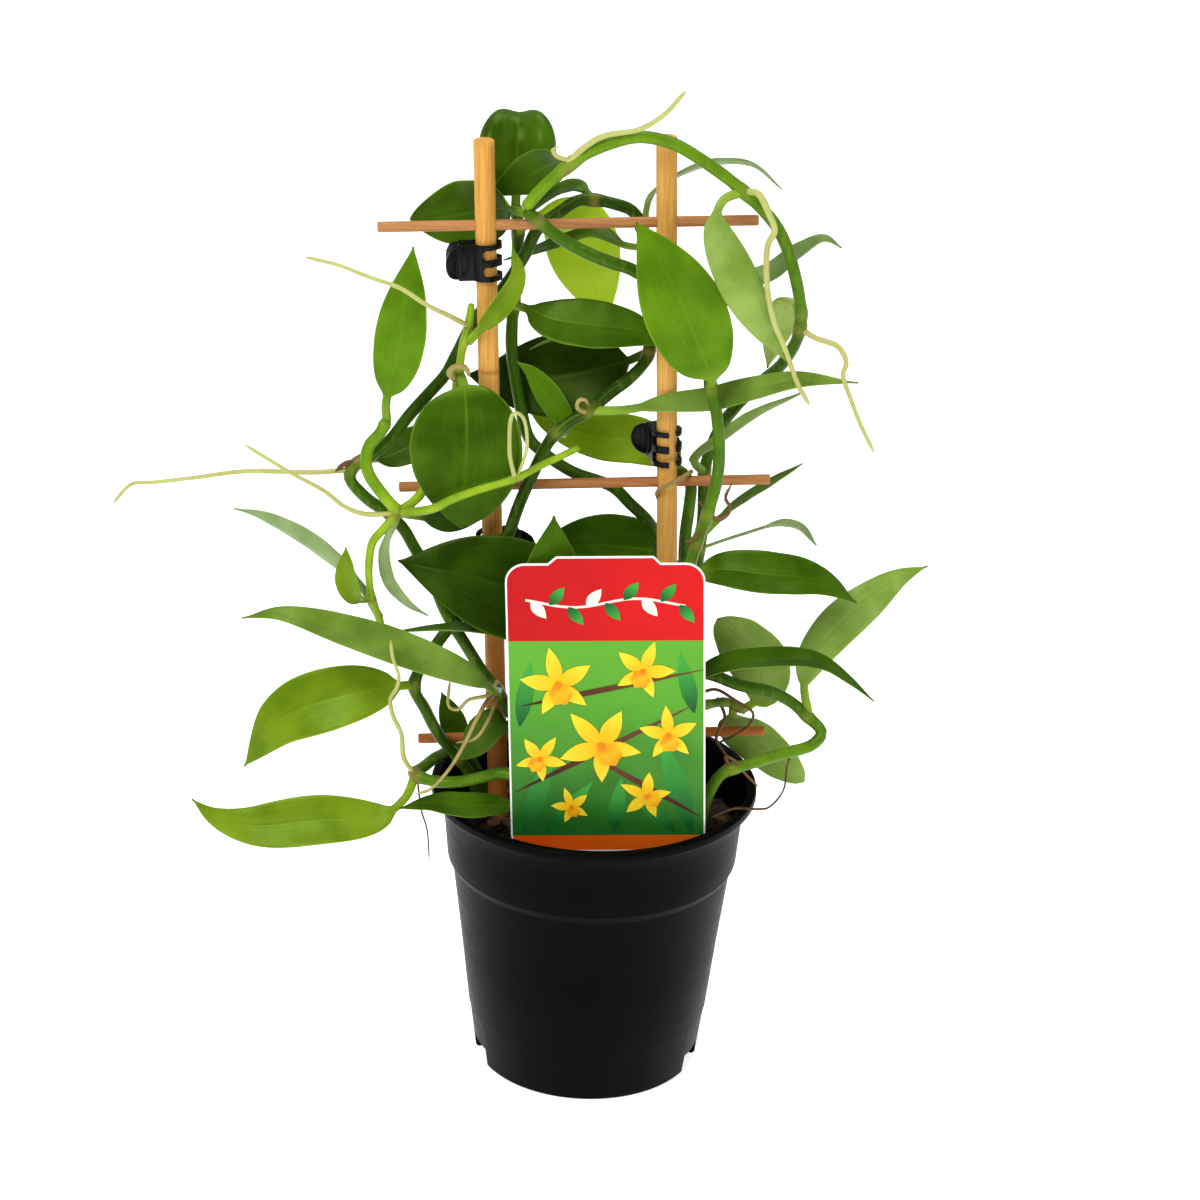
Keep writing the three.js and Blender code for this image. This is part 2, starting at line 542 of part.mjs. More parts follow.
    path: [
    [-66, -13, 154], [-72, -17, 155], [-92, -21, 152], [-112, -21, 143], [-127, -19, 122]] },
  { name: "leaf_low_left", stem: "lowLeft", width: 18.5, face: [0, -0.8, 0.6], cup: 0.2, path: [
    [-65, -21, 121], [-68, -26, 115], [-76, -29, 109], [-99, -31, 107], [-124, -31, 104], [-137, -30, 107],
    [-145, -29, 113]] },
  { name: "leaf_along_rim", stem: "lowLeft", width: 11, face: [0, -0.5, 0.85], cup: 0.25, path: [
    [-17, -31, 108], [-30, -29, 114], [-45, -34, 116], [-58, -32, 116], [-70, -31, 113]] },
  { name: "leaf_middle_dark", stem: "right", width: 36, face: [0, -0.9, 0.4], cup: 0.12, petiole: 0.3,
    path: [
    [31, -9, 190], [12, -16, 189], [-8, -19, 190], [-28, -20, 195], [-50, -20, 201], [-72, -17, 204]] },
  { name: "leaf_pointed", stem: "right", width: 26, face: [0, -0.95, 0.3], cup: 0.1, petiole: 0.42,
    path: [
    [30, -8, 172], [8, -20, 166], [-13, -28, 178], [-17, -30, 201], [-17, -29, 228]] },
  { name: "leaf_behind_label", stem: "inner", width: 24, face: [0, -0.75, 0.6], cup: 0.12, petiole: 0.12,
    path: [
    [20, 17.5, 186], [27, 21, 190], [22, 24, 193], [8, 24, 195], [-8, 22, 196], [-26, 19, 194]] },
  { name: "leaf_right_dark", stem: "right", width: 16, face: [0, -0.75, 0.65], cup: 0.3, petiole: 0.03,
    path: [
    [30, -9, 196], [40, -14, 203], [56, -18, 204], [78, -19, 202], [91, -18, 194]] },
  { name: "leaf_right_raised", stem: "lowRight", width: 15.5, face: [0.5, 0.8, -0.1],
    cup: 0.15, petiole: 0.1,
    path: [
    [77, -8, 145], [75, -6, 156], [77, -4, 165], [85, -4, 178], [96, -4, 189], [107, -3, 198],
    [117, -1, 202]] },
  { name: "leaf_right_low", stem: "right", width: 10.5, face: [0, -0.35, 0.95], cup: 0.35, path: [
    [29, -9, 150], [31, -18, 158], [42, -25, 170], [65, -27, 175], [79, -27, 174], [90, -26, 167],
    [99, -25, 159]] },
  { name: "leaf_right_back", stem: "lowRight", width: 24, face: [0, 0.9, 0.45],
    cup: 0.12, petiole: 0.06, tip: 0.6,
    path: [[53, 2, 141], [59, 7, 144], [59, 9, 155], [51, 10, 166], [43, 10, 174]] },
  { name: "leaf_rim_right", stem: "lowRight", width: 19, face: [0.2, 0.95, 0.15],
    cup: 0.1, petiole: 0.1, tip: 0.55,
    path: [
    [50, 2, 143], [51, 8, 133], [59, 11, 124], [68, 10, 117], [78, 8, 110]] },
  { name: "leaf_in_pot", stem: "left", width: 14, face: [-0.3, -0.7, 0.7], cup: 0.2, path: [
    [-28, -8, 132], [-36, -14, 140], [-44, -15, 132], [-50, -15, 125]] },
  { name: "leaf_left_back", stem: "left", width: 13, face: [0, -0.8, 0.5], cup: 0.2, path: [
    [-84, -3, 237], [-79, 6, 234], [-66, 9, 239], [-50, 9, 241]] },
  { name: "leaf_right_thin", stem: "arch", width: 9, face: [-0.35, 0.38, 0.88],
    cup: 0.2, petiole: 0.45, stalk: 0.55, twist: 40,
    path: [
    [36, 9, 202], [49, 5, 209], [63, 4, 214], [71, 4, 213], [77, 3, 207]] },
  { name: "leaf_right_back_low", stem: "arch", width: 6.5, face: [-0.2, -0.1, 0.95], cup: 0.3, path: [
    [36, 9, 207], [45, 13, 215], [56, 15, 222.5], [71, 14, 234]] },
  { name: "leaf_left_level", stem: "left", width: 9.5, face: [0, -0.1, 1], cup: 0.3, path: [
    [-26, -7.5, 130], [-21, -14, 140], [-22, -18, 160], [-31, -21, 177], [-44, -22, 180.5],
    [-58, -22, 180.5], [-74, -22, 178.5]] },
];

const SIDE_LEAVES = [
  { stem: "left", width: 8, face: [-0.1, -0.3, 1], cup: 0.3, path: [
    [-7, 9, 331], [-12, 14, 334], [-20, 16, 331], [-30, 16, 323]] },
  { stem: "shoot", width: 9, face: [-0.4, -0.8, 0.3], cup: 0.4, path: [
    [-81, -20, 190], [-86, -24, 192], [-89, -24, 199], [-90, -23, 211]] },
  { stem: "shoot", width: 6, face: [0.3, 0.8, 0.4], cup: 0.3, path: [
    [-73, -15, 219], [-77, -20, 209], [-75, -23, 198], [-68, -23, 190], [-61, -21, 185]] },
  { stem: "left", width: 10, face: [-0.2, -0.8, 0.5], cup: 0.2, path: [
    [-50, -4, 121], [-51, 4, 127], [-54, 6, 135], [-57, 5, 143]] },
  { stem: "left", width: 7, face: [0, 0.4, 0.92], cup: 0.3, path: [
    [14, 7, 283], [9, 11, 283.5], [-2, 12, 282], [-14, 12, 280], [-23, 11, 277.5], [-28, 10, 275]] },
];

const POINTED = 1.15;
const PETIOLE = { share: 0.14, half: 1.3, thickness: 2.2 };

/** Half the blade's width as a share of the greatest, from the petiole (0) to the tip (1). */
function bladeShare(t, petiole, tip) {
  const s = (t - petiole) / (1 - petiole);
  const widest = 0.42;
  if (s <= 0) return 0;
  if (s < widest) return Math.sqrt(1 - (1 - s / widest) ** 2);
  return (1 - ((s - widest) / (1 - widest)) ** 2) ** tip;
}

/** The rings of one leaf. */
function leafRings(leaf, steps) {
  const across = leaf.width > 11.5 ? 4 : 2;
  const curve = smoothCurve(leaf.path);
  const twist = THREE.MathUtils.degToRad(leaf.twist ?? 0);
  return frames(curve, steps, vec(leaf.face)).map((f, i) => {
    const t = i / steps;
    const turn = twist * Math.max(0, 2 * t - 1);
    const normal = f.normal.clone().applyAxisAngle(f.tangent, turn);
    const side = f.side.clone().applyAxisAngle(f.tangent, turn);
    const stalk = leaf.stalk ?? 1;
    const share = bladeShare(t, leaf.petiole ?? PETIOLE.share, leaf.tip ?? POINTED);
    const half = Math.max(stalk * PETIOLE.half * (1 - t) + 0.35, (leaf.width / 2) * share);
    const thick = THREE.MathUtils.lerp(stalk * PETIOLE.thickness, LEAF_THICKNESS, Math.min(1, share * 2));
    const depth = t > 0.9 ? LEAF_THICKNESS * 0.8 : thick;
    const rise = (s) => Math.abs(s) ** 1.5 - (leaf.roll ?? 0) * s ** 4;
    const point = (s, skin) => f.point.clone()
      .addScaledVector(side, s * half)
      .addScaledVector(normal, leaf.cup * half * share * rise(s) + skin * depth / 2);
    const ring = [];
    for (let k = 0; k <= across; k++) ring.push(point((2 * k) / across - 1, 1));
    for (let k = 0; k <= across; k++) ring.push(point(1 - (2 * k) / across, -1));
    return ring;
  });
}

/** A leaf with the share of its midrib before start left away. */
function trimmedLeaf(leaf, start) {
  const curve = smoothCurve(leaf.path);
  const points = [curve.getPointAt(start)];
  const lengths = curve.getLengths(leaf.path.length * 40);
  const total = lengths[lengths.length - 1];
  for (let k = 1; k < leaf.path.length; k++) {
    const along = lengths[Math.round((k / (leaf.path.length - 1)) * (lengths.length - 1))] / total;
    if (along > start + 0.08) points.push(vec(leaf.path[k]));
  }
  const steps = leaf.path.length > 5 ? 9 : 7;
  return loft(leafRings({ ...leaf, path: points.map((p) => p.toArray()) }, steps));
}

/** A leaf that is its own piece. Its petiole ends a small gap before the skin of its stem. */
function leafBlade(leaf, stemSolid) {
  let near = 0;
  let far = 0.4;
  for (let k = 0; k < 8; k++) {
    const middle = (near + far) / 2;
    if (solidOf(trimmedLeaf(leaf, middle)).minGap(stemSolid, 2 * GAP) < GAP) near = middle;
    else far = middle;
  }
  return trimmedLeaf(leaf, far);
}

/** A whole stem: the run, its side shoots, small leaves and roots, joined as one body. */
function stem(name) {
  const { path, steps } = STEMS[name];
  let solid = solidOf(rod(smoothCurve(path), () => STEM_RADIUS, steps, STEM_SIDES));
  for (const side of SIDE_STEMS.filter((s) => s.stem === name)) {
    const taper = (t) => side.radius * (1 - 0.25 * t);
    solid = solid.add(solidOf(rod(smoothCurve(side.path), taper, side.steps, STEM_SIDES)));
  }
  for (const root of ROOTS.filter((r) => r.stem === name)) {
    const taper = (t) => root.radius * (1 - 0.35 * t);
    solid = solid.add(solidOf(rod(smoothCurve(root.path), taper, 2 * root.path.length, ROOT_SIDES)));
  }
  for (const leaf of SIDE_LEAVES.filter((l) => l.stem === name)) {
    solid = solid.add(solidOf(loft(leafRings(leaf, 7))));
  }
  return solid;
}

// Potting bark

/** A seeded draw, so that the bark is the same every time. */
function draws(seed) {
  let state = seed;
  return () => {
    state = (state * 1664525 + 1013904223) % 4294967296;
    return state / 4294967296;
  };
}

/** The bark fill: a plug that fits the pot, chips on top, and a plain hole for all that stands in it. */
function pottingBark() {
  const inset = WALL + GAP;
  const profile = [
    [0, FLOOR + GAP], [FOOT_RADIUS - inset, FLOOR + GAP],
    [wallRadius(STEP_START) - inset, STEP_START],
    [BAND_RADIUS - BAND_TAPER - inset, BAND_BOTTOM], [BAND_RADIUS - inset - 0.7, SOIL_LEVEL - 1],
    [30, SOIL_LEVEL], [0, SOIL_LEVEL + 1],
  ].map(([r, z]) => new THREE.Vector2(r, z));
  let solid = solidOf(new THREE.LatheGeometry(profile, POT_SIDES).rotateX(Math.PI / 2));
  const draw = draws(7);
  for (let k = 0; k < 22; k++) {
    const radius = 46 * Math.sqrt(draw());
    const angle = 2 * Math.PI * draw();
    const chip = new THREE.BoxGeometry(7 + 8 * draw(), 4 + 4 * draw(), 3 + 2 * draw());
    chip.rotateX(0.5 * draw() - 0.25).rotateY(0.6 * draw() - 0.3).rotateZ(2 * Math.PI * draw());
    chip.translate(radius * Math.cos(angle), radius * Math.sin(angle), SOIL_LEVEL + 0.6 * draw());
    solid = solid.add(solidOf(chip));
  }
  const bore = (point, across) => {
    const hole = new THREE.CylinderGeometry(across, across, 80, 8).rotateX(Math.PI / 2);
    return solidOf(hole.translate(point[0], point[1], point[2] + 40));
  };
  for (const { path } of Object.values(STEMS)) {
    const ends = [path[0], path[path.length - 1]].filter((p) => p[2] === STEM_FOOT);
    for (const end of ends) {
      const next = end === path[0] ? path[1] : path[path.length - 2];
      const slant = (SOIL_LEVEL + 4 - STEM_FOOT) / (next[2] - STEM_FOOT);
      const drift = Math.hypot(next[0] - end[0], next[1] - end[1]) * slant;
      solid = solid.subtract(bore([end[0], end[1], end[2] - 2.5], STEM_RADIUS + drift + 3 * GAP));
    }
  }
  for (const across of [-CANE_SPACING / 2, CANE_SPACING / 2]) {
    const low = trellisPoint(across, CANE_BOTTOM - GAP);
    const high = trellisPoint(across, CANE_BOTTOM + 90);
    solid = solid.subtract(solidOf(bar(low, high, CANE_RADIUS + 2 * GAP, CANE_SIDES)));
  }
  const slot = new THREE.BoxGeometry(LABEL.stake + 10, LABEL.thickness + 2 * GAP, 80);
  slot.translate(LABEL.middle, LABEL.front - LABEL.thickness / 2, LABEL.tipHeight + 38);
  return geometryOf(solid.subtract(solidOf(slot)));
}

// Assembly

add("pot", pot(), FINISH.pot);
add("potting_bark", pottingBark(), FINISH.bark);
add("cane_left", cane(-CANE_SPACING / 2), FINISH.cane);
add("cane_right", cane(CANE_SPACING / 2), FINISH.cane);
for (const rung of RUNGS) {
  const from = trellisPoint(rung.from, rung.height);
  const to = trellisPoint(rung.to, rung.height);
  add(rung.name, bar(from, to, STICK_RADIUS, STICK_SIDES), FINISH.stick);
}
for (const clip of CLIPS) {
  const place = clipPlace(clip);
  add(`${clip.name}_jaw_fixed`, geometryOf(jaw(-clip.opens, true)).applyMatrix4(place), FINISH.clip);
  add(`${clip.name}_jaw_moving`, geometryOf(jaw(clip.opens, false)).applyMatrix4(place), FINISH.clip);
}
add("plant_label", plantLabel(), FINISH.label);
const grown = Object.fromEntries(Object.keys(STEMS).map((name) => [name, stem(name)]));
for (const [name, solid] of Object.entries(grown)) {
  const node = `vine_${name.replace(/[A-Z]/g, (c) => "_" + c.toLowerCase())}`;
  add(node, geometryOf(solid), FINISH[STEMS[name].material]);
}
for (const leaf of LEAVES) {
  const young = STEMS[leaf.stem].material === "shoot";
  add(leaf.name, leafBlade(leaf, grown[leaf.stem]), young ? FINISH.youngLeaf : FINISH.leaf);
}

export default orchid;
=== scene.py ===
"""Looks of a potted vanilla orchid on a bamboo trellis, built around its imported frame."""

import json
import logging
import math
import random
from bisect import bisect_right
from collections.abc import Callable, Sequence
from dataclasses import dataclass, field
from enum import Enum, IntEnum
from typing import ClassVar

import bmesh
import bpy
from mathutils import Euler, Matrix, Quaternion, Vector, noise

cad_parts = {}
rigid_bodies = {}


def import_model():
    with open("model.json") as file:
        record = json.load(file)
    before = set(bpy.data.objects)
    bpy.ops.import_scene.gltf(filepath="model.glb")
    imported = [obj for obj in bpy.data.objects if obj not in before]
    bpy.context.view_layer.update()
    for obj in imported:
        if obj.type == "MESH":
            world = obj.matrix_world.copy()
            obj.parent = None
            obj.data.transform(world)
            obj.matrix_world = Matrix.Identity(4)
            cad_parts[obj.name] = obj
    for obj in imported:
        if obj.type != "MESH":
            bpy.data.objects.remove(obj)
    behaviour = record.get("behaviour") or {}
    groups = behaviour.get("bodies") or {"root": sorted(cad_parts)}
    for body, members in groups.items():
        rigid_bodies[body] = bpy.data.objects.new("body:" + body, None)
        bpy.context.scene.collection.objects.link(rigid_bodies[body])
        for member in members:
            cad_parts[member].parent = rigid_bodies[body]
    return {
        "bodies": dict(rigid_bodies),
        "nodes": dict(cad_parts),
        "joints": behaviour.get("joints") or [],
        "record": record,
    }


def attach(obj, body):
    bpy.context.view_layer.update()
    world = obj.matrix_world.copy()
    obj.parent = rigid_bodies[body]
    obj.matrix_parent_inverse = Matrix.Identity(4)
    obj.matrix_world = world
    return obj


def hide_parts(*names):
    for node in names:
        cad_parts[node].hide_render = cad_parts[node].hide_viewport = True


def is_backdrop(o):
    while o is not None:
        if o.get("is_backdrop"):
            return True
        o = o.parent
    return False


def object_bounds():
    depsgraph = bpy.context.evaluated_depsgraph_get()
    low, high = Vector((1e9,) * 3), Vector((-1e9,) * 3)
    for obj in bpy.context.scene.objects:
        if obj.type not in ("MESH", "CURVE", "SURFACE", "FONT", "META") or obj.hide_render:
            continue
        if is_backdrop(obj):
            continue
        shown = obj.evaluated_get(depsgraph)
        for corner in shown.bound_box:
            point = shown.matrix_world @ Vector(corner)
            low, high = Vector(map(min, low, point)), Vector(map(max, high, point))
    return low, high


LOG = logging.getLogger("orchid")
MM = 0.001
FAR = 99.0
HOLDER = "potted_orchid"

Point = tuple[float, float, float]
Colour = tuple[float, float, float, float]
Socket = bpy.types.NodeSocket
Mark = Callable[[int, int], float]
Pair = tuple[float, float]
Outline = list[Pair]


def paint(red: int, green: int, blue: int) -> Colour:
    """Turn a colour as a screen shows it, 0 to 255, into a linear one.

    Args:
        red: The red share.
        green: The green share.
        blue: The blue share.

    Returns:
        The linear colour with full opacity.
    """
    def linear(value: int) -> float:
        """Give one channel's linear value."""
        share = value / 255
        return share / 12.92 if share <= 0.04045 else ((share + 0.055) / 1.055) ** 2.4

    return linear(red), linear(green), linear(blue), 1.0


WHITE = paint(255, 255, 255)
WAX = paint(214, 255, 128)


# Materials


class Shader:
    """The node tree of one material, built step by step."""

    MIX_FIRST = 6
    MIX_SECOND = 7
    MIX_RESULT = 2

    def __init__(self, name: str, roughness: float, specular: float = 0.5, tint: Colour = WHITE) -> None:
        """Start a material with a plain surface shader.

        Args:
            name: The material's name.
            roughness: The shader's roughness.
            specular: The shader's specular level.
            tint: The colour of its gloss.
        """
        self.material = bpy.data.materials.new(name)
        self.material.use_nodes = True
        self.tree = self.material.node_tree
        self.surface = self.tree.nodes["Principled BSDF"]
        self.surface.inputs["Roughness"].default_value = roughness
        self.surface.inputs["Specular IOR Level"].default_value = specular
        self.surface.inputs["Specular Tint"].default_value = tint

    def node(self, kind: str, **settings: object) -> bpy.types.Node:
        """Add a node.

        Args:
            kind: The node's type.
            settings: Properties to set on it.

        Returns:
            The new node.
        """
        made = self.tree.nodes.new(kind)
        for key, value in settings.items():
            setattr(made, key, value)
        return made

    def feed(self, target: Socket, value: Socket | float | Sequence[float]) -> None:
        """Link a socket to an input, or write a value on it.

        Args:
            target: The input.
            value: A socket, a number or several numbers.
        """
        if isinstance(value, Socket):
            self.tree.links.new(value, target)
        else:
            target.default_value = value

    def mark(self, name: str) -> Socket:
        """Read a mark that the mesh carries."""
        return self.node("ShaderNodeAttribute", attribute_name=name).outputs["Fac"]

    def math(self, operation: str, first: Socket | float, second: Socket | float = 0.0) -> Socket:
        """Combine two values.

        Args:
            operation: The kind of sum.
            first: The first value.
            second: The second value.

        Returns:
            The result.
        """
        made = self.node("ShaderNodeMath", operation=operation)
        self.feed(made.inputs[0], first)
        self.feed(made.inputs[1], second)
        return made.outputs[0]

    def times(self, first: Socket | float, second: Socket | float) -> Socket:
        """Multiply two values."""
        return self.math("MULTIPLY", first, second)

    def plus(self, first: Socket | float, second: Socket | float) -> Socket:
        """Add two values."""
        return self.math("ADD", first, second)

    def varied(self, value: Socket, pattern: Socket, spread: float) -> Socket:
        """Let a pattern of 0 to 1 raise and lower a value.

        Args:
            value: The value.
            pattern: The pattern.
            spread: How far the value strays in all.

        Returns:
            The varied value.
        """
        return self.plus(value, self.times(self.math("SUBTRACT", pattern, 0.5), spread))

    def blended(self, first: Socket, second: Socket, share: float) -> Socket:
        """Add two patterns by shares that make one.

        Args:
            first: The first pattern.
            second: The second pattern.
            share: The share of the first.

        Returns:
            The blended pattern.
        """
        return self.plus(self.times(first, share), self.times(second, 1 - share))

    def band(self, value: Socket, low: float, high: float, top: float = 1.0) -> Socket:
        """Rise smoothly from 0 at low to top at high.

        Args:
            value: The value to read.
            low: Where the rise starts.
            high: Where it ends.
            top: The value at its end.

        Returns:
            The risen value.
        """
        made = self.node("ShaderNodeMapRange", interpolation_type="SMOOTHSTEP")
        self.feed(made.inputs["Value"], value)
        self.feed(made.inputs["From Min"], low)
        self.feed(made.inputs["From Max"], high)
        self.feed(made.inputs["To Max"], top)
        return made.outputs["Result"]

    def mix(self, share: Socket | float, first: Socket | Colour, second: Socket | Colour) -> Socket:
        """Mix two colours.

        Args:
            share: The share of the second.
            first: The first colour.
            second: The second colour.

        Returns:
            The mixed colour.
        """
        made = self.node("ShaderNodeMix", data_type="RGBA")
        self.feed(made.inputs[0], share)
        self.feed(made.inputs[self.MIX_FIRST], first)
        self.feed(made.inputs[self.MIX_SECOND], second)
        return made.outputs[self.MIX_RESULT]

    def grain(
        self, size: float, stretch: Point = (1.0, 1.0, 1.0), detail: float = 3.0,
        turn: Point = (0.0, 0.0, 0.0),
    ) -> Socket:
        """Add a noise pattern over the piece.

        Args:
            size: The size of one spot in millimetres.
            stretch: How many times longer a spot is along each axis.
            detail: The depth of the finer spots.
            turn: The pattern's turn in degrees.

        Returns:
            The pattern, 0 to 1.
        """
        made = self.node("ShaderNodeTexNoise")
        made.inputs["Scale"].default_value = 1.0
        made.inputs["Detail"].default_value = detail
        place = self.node("ShaderNodeMapping")
        place.inputs["Rotation"].default_value = [math.radians(value) for value in turn]
        place.inputs["Scale"].default_value = [1 / (size * MM * value) for value in stretch]
        self.tree.links.new(self.node("ShaderNodeTexCoord").outputs["Object"], place.inputs["Vector"])
        self.tree.links.new(place.outputs["Vector"], made.inputs["Vector"])
        return made.outputs["Fac"]

    def lines(self, along: Socket, across: Socket, detail: float = 2.0) -> Socket:
        """Add a noise pattern over two marks.

        Args:
            along: The first coordinate.
            across: The second coordinate.
            detail: The depth of the finer lines.

        Returns:
            The pattern, 0 to 1.
        """
        place = self.node("ShaderNodeCombineXYZ")
        self.feed(place.inputs[0], along)
        self.feed(place.inputs[1], across)
        made = self.node("ShaderNodeTexNoise")
        made.inputs["Scale"].default_value = 1.0
        made.inputs["Detail"].default_value = detail
        self.tree.links.new(place.outputs[0], made.inputs["Vector"])
        return made.outputs["Fac"]

    def ramp(self, value: Socket, stops: Sequence[tuple[float, Colour]]) -> Socket:
        """Turn a value into a colour by stops.

        Args:
            value: The value.
            stops: Places and their colours.

        Returns:
            The colour.
        """
        made = self.node("ShaderNodeValToRGB")
        elements = made.color_ramp.elements
        while len(elements) < len(stops):
            elements.new(0.5)
        for element, (place, colour) in zip(elements, stops):
            element.position = place
            element.color = colour
        self.tree.links.new(value, made.inputs["Fac"])
        return made.outputs["Color"]

    def relief(self, height: Socket, depth: float, strength: float = 1.0) -> None:
        """Raise the surface by a pattern.

        Args:
            height: The pattern.
            depth: Its depth in millimetres.
            strength: How strongly it shows.
        """
        made = self.node("ShaderNodeBump")
        made.inputs["Distance"].default_value = depth * MM
        made.inputs["Strength"].default_value = strength
        self.tree.links.new(height, made.inputs["Height"])
        self.tree.links.new(made.outputs["Normal"], self.surface.inputs["Normal"])

    def finish(self, colour: Socket | Colour, roughness: Socket | None = None) -> bpy.types.Material:
        """Give the surface its colour.

        Args:
            colour: The base colour.
            roughness: A pattern for the roughness.

        Returns:
            The finished material.
        """
        self.feed(self.surface.inputs["Base Color"], colour)
        if roughness is not None:
            self.tree.links.new(roughness, self.surface.inputs["Roughness"])
        return self.material


@dataclass(frozen=True)
class LeafFinish:
    """The waxy skin of a leaf: another green on each side, fine veins, a soft rib, a pale stalk, and a paler
    margin that also carries a painted highlight along the leaf's edges.
    """

    name: str
    upper: tuple[Colour, Colour]
    under: tuple[Colour, Colour]
    stalk: Colour = paint(112, 144, 36)
    # The margin's paler green, which also stands for a painted highlight along the leaf's edges; the random
    # flecks take this colour too.
    rim: Colour = paint(120, 150, 50)
    roughness: float = 0.3
    gloss: float = 0.22
    dry_tip: Colour = paint(110, 92, 36)
    cloud_size: float = 16.0
    fleck_size: float = 0.8
    vein_share: float = 0.2
    rib_width: float = 0.055
    rib_strength: float = 0.36
    rim_width: float = 0.07
    groove_width: float = 0.12
    groove_depth: float = 2.0
    vein_depth: float = 0.7
    relief_depth: float = 0.07

    def material(self) -> bpy.types.Material:
        """Give the material, made once."""
        known = bpy.data.materials.get(self.name)
        return known or self._make()

    def _make(self) -> bpy.types.Material:
        """Build the material.

        Returns:
            The new material.
        """
        shader = Shader(self.name, self.roughness, self.gloss, WAX)
        along, across, side = shader.mark("along"), shader.mark("across"), shader.mark("skin")
        far = shader.math("ABSOLUTE", across)
        veins = shader.lines(shader.times(along, 2.0), shader.times(across, 13.0))
        cloud = shader.grain(self.cloud_size, detail=5.0)
        spread = shader.band(shader.blended(veins, cloud, self.vein_share), 0.34, 0.66)
        upper = shader.mix(spread, self.upper[0], self.upper[1])
        under = shader.mix(spread, self.under[0], self.under[1])
        colour = shader.mix(shader.band(side, -0.35, 0.2), under, upper)
        fade = shader.band(along, 0.95, 0.0, self.rib_strength)
        rib = shader.times(shader.band(far, self.rib_width, 0.0), fade)
        colour = shader.mix(rib, colour, self.stalk)
        # Paler margin, partly the leaf's own colour and partly a painted highlight along its edges.
        colour = shader.mix(shader.band(far, 1.0 - self.rim_width, 1.0, 0.55), colour, self.rim)
        colour = shader.mix(shader.band(along, 0.16, 0.02, 0.9), colour, self.stalk)
        colour = shader.mix(shader.band(along, 0.98, 1.0, 0.7), colour, self.dry_tip)
        flecks = shader.band(shader.grain(self.fleck_size, detail=1.0), 0.7, 0.82, 0.25)
        colour = shader.mix(flecks, colour, self.rim)
        groove = shader.times(shader.band(far, 0.0, self.groove_width), self.groove_depth)
        shader.relief(shader.plus(groove, shader.times(veins, self.vein_depth)), self.relief_depth, 0.7)
        rough = shader.plus(shader.times(cloud, 0.12), self.roughness - 0.06)
        return shader.finish(colour, rough)


class Tone(Enum):
    """The greens of the leaves: their own greens, with painted light in some of them, as noted at each."""

    DEEP = LeafFinish(
        "leaf_deep",
        upper=(paint(26, 45, 3), paint(41, 66, 5)),
        under=(paint(64, 92, 22), paint(84, 110, 36)),
        stalk=paint(78, 110, 22), rim=paint(70, 104, 18), gloss=0.12,
    )
    DARK = LeafFinish(
        "leaf_dark",
        upper=(paint(42, 70, 4), paint(62, 96, 10)),
        under=(paint(84, 114, 34), paint(106, 134, 50)),
        rim=paint(108, 142, 34), gloss=0.16,
    )
    MID = LeafFinish(
        "leaf_mid",
        upper=(paint(68, 106, 6), paint(90, 130, 14)),
        under=(paint(104, 138, 44), paint(128, 158, 62)),
        rim=paint(132, 166, 44),
    )
    BRIGHT = LeafFinish(
        "leaf_bright",
        upper=(paint(87, 115, 12), paint(112, 140, 24)),
        under=(paint(126, 158, 44), paint(146, 176, 62)),
        stalk=paint(126, 158, 34), rim=paint(150, 180, 46),
    )
    # Paints the glow of light shining through a backlit leaf.
    PALE = LeafFinish(
        "leaf_pale",
        upper=(paint(176, 216, 34), paint(196, 228, 58)),
        under=(paint(174, 206, 62), paint(194, 220, 84)),
        stalk=paint(144, 178, 40), rim=paint(184, 210, 74),
    )
    GREY = LeafFinish(
        "leaf_grey",
        upper=(paint(52, 82, 16), paint(76, 106, 30)),
        under=(paint(84, 112, 42), paint(110, 136, 62)),
        rim=paint(124, 150, 60), roughness=0.33,
    )
    # Partly the leaves' own grey-green, partly a painted grey sheen and painted light on leaves in shade.
    MIST = LeafFinish(
        "leaf_mist",
        upper=(paint(84, 114, 32), paint(112, 140, 54)),
        under=(paint(104, 134, 48), paint(136, 162, 80)),
        stalk=paint(128, 160, 44), rim=paint(150, 178, 74), roughness=0.36,
    )
    # A brighter green that paints light onto a leaf that stands in shade.
    PAINTED_LIT = LeafFinish(
        "leaf_painted_lit",
        upper=(paint(116, 152, 16), paint(140, 172, 32)),
        under=(paint(138, 168, 48), paint(158, 186, 70)),
        stalk=paint(136, 168, 40), rim=paint(160, 188, 56),
    )
    # A pale green that paints light onto a leaf that stands in shade.
    PAINTED_PALE_LIT = LeafFinish(
        "leaf_painted_pale_lit",
        upper=(paint(142, 168, 74), paint(168, 190, 108)),
        under=(paint(150, 174, 88), paint(174, 194, 120)),
        stalk=paint(132, 160, 56), rim=paint(172, 190, 116), roughness=0.38,
    )
    # Partly the leaves' own grey-green, partly a painted grey sheen on glossy leaves.
    ASH = LeafFinish(
        "leaf_ash",
        upper=(paint(92, 118, 58), paint(124, 148, 90)),
        under=(paint(108, 130, 78), paint(142, 162, 112)),
        stalk=paint(112, 138, 60), rim=paint(158, 178, 118), roughness=0.38,
    )


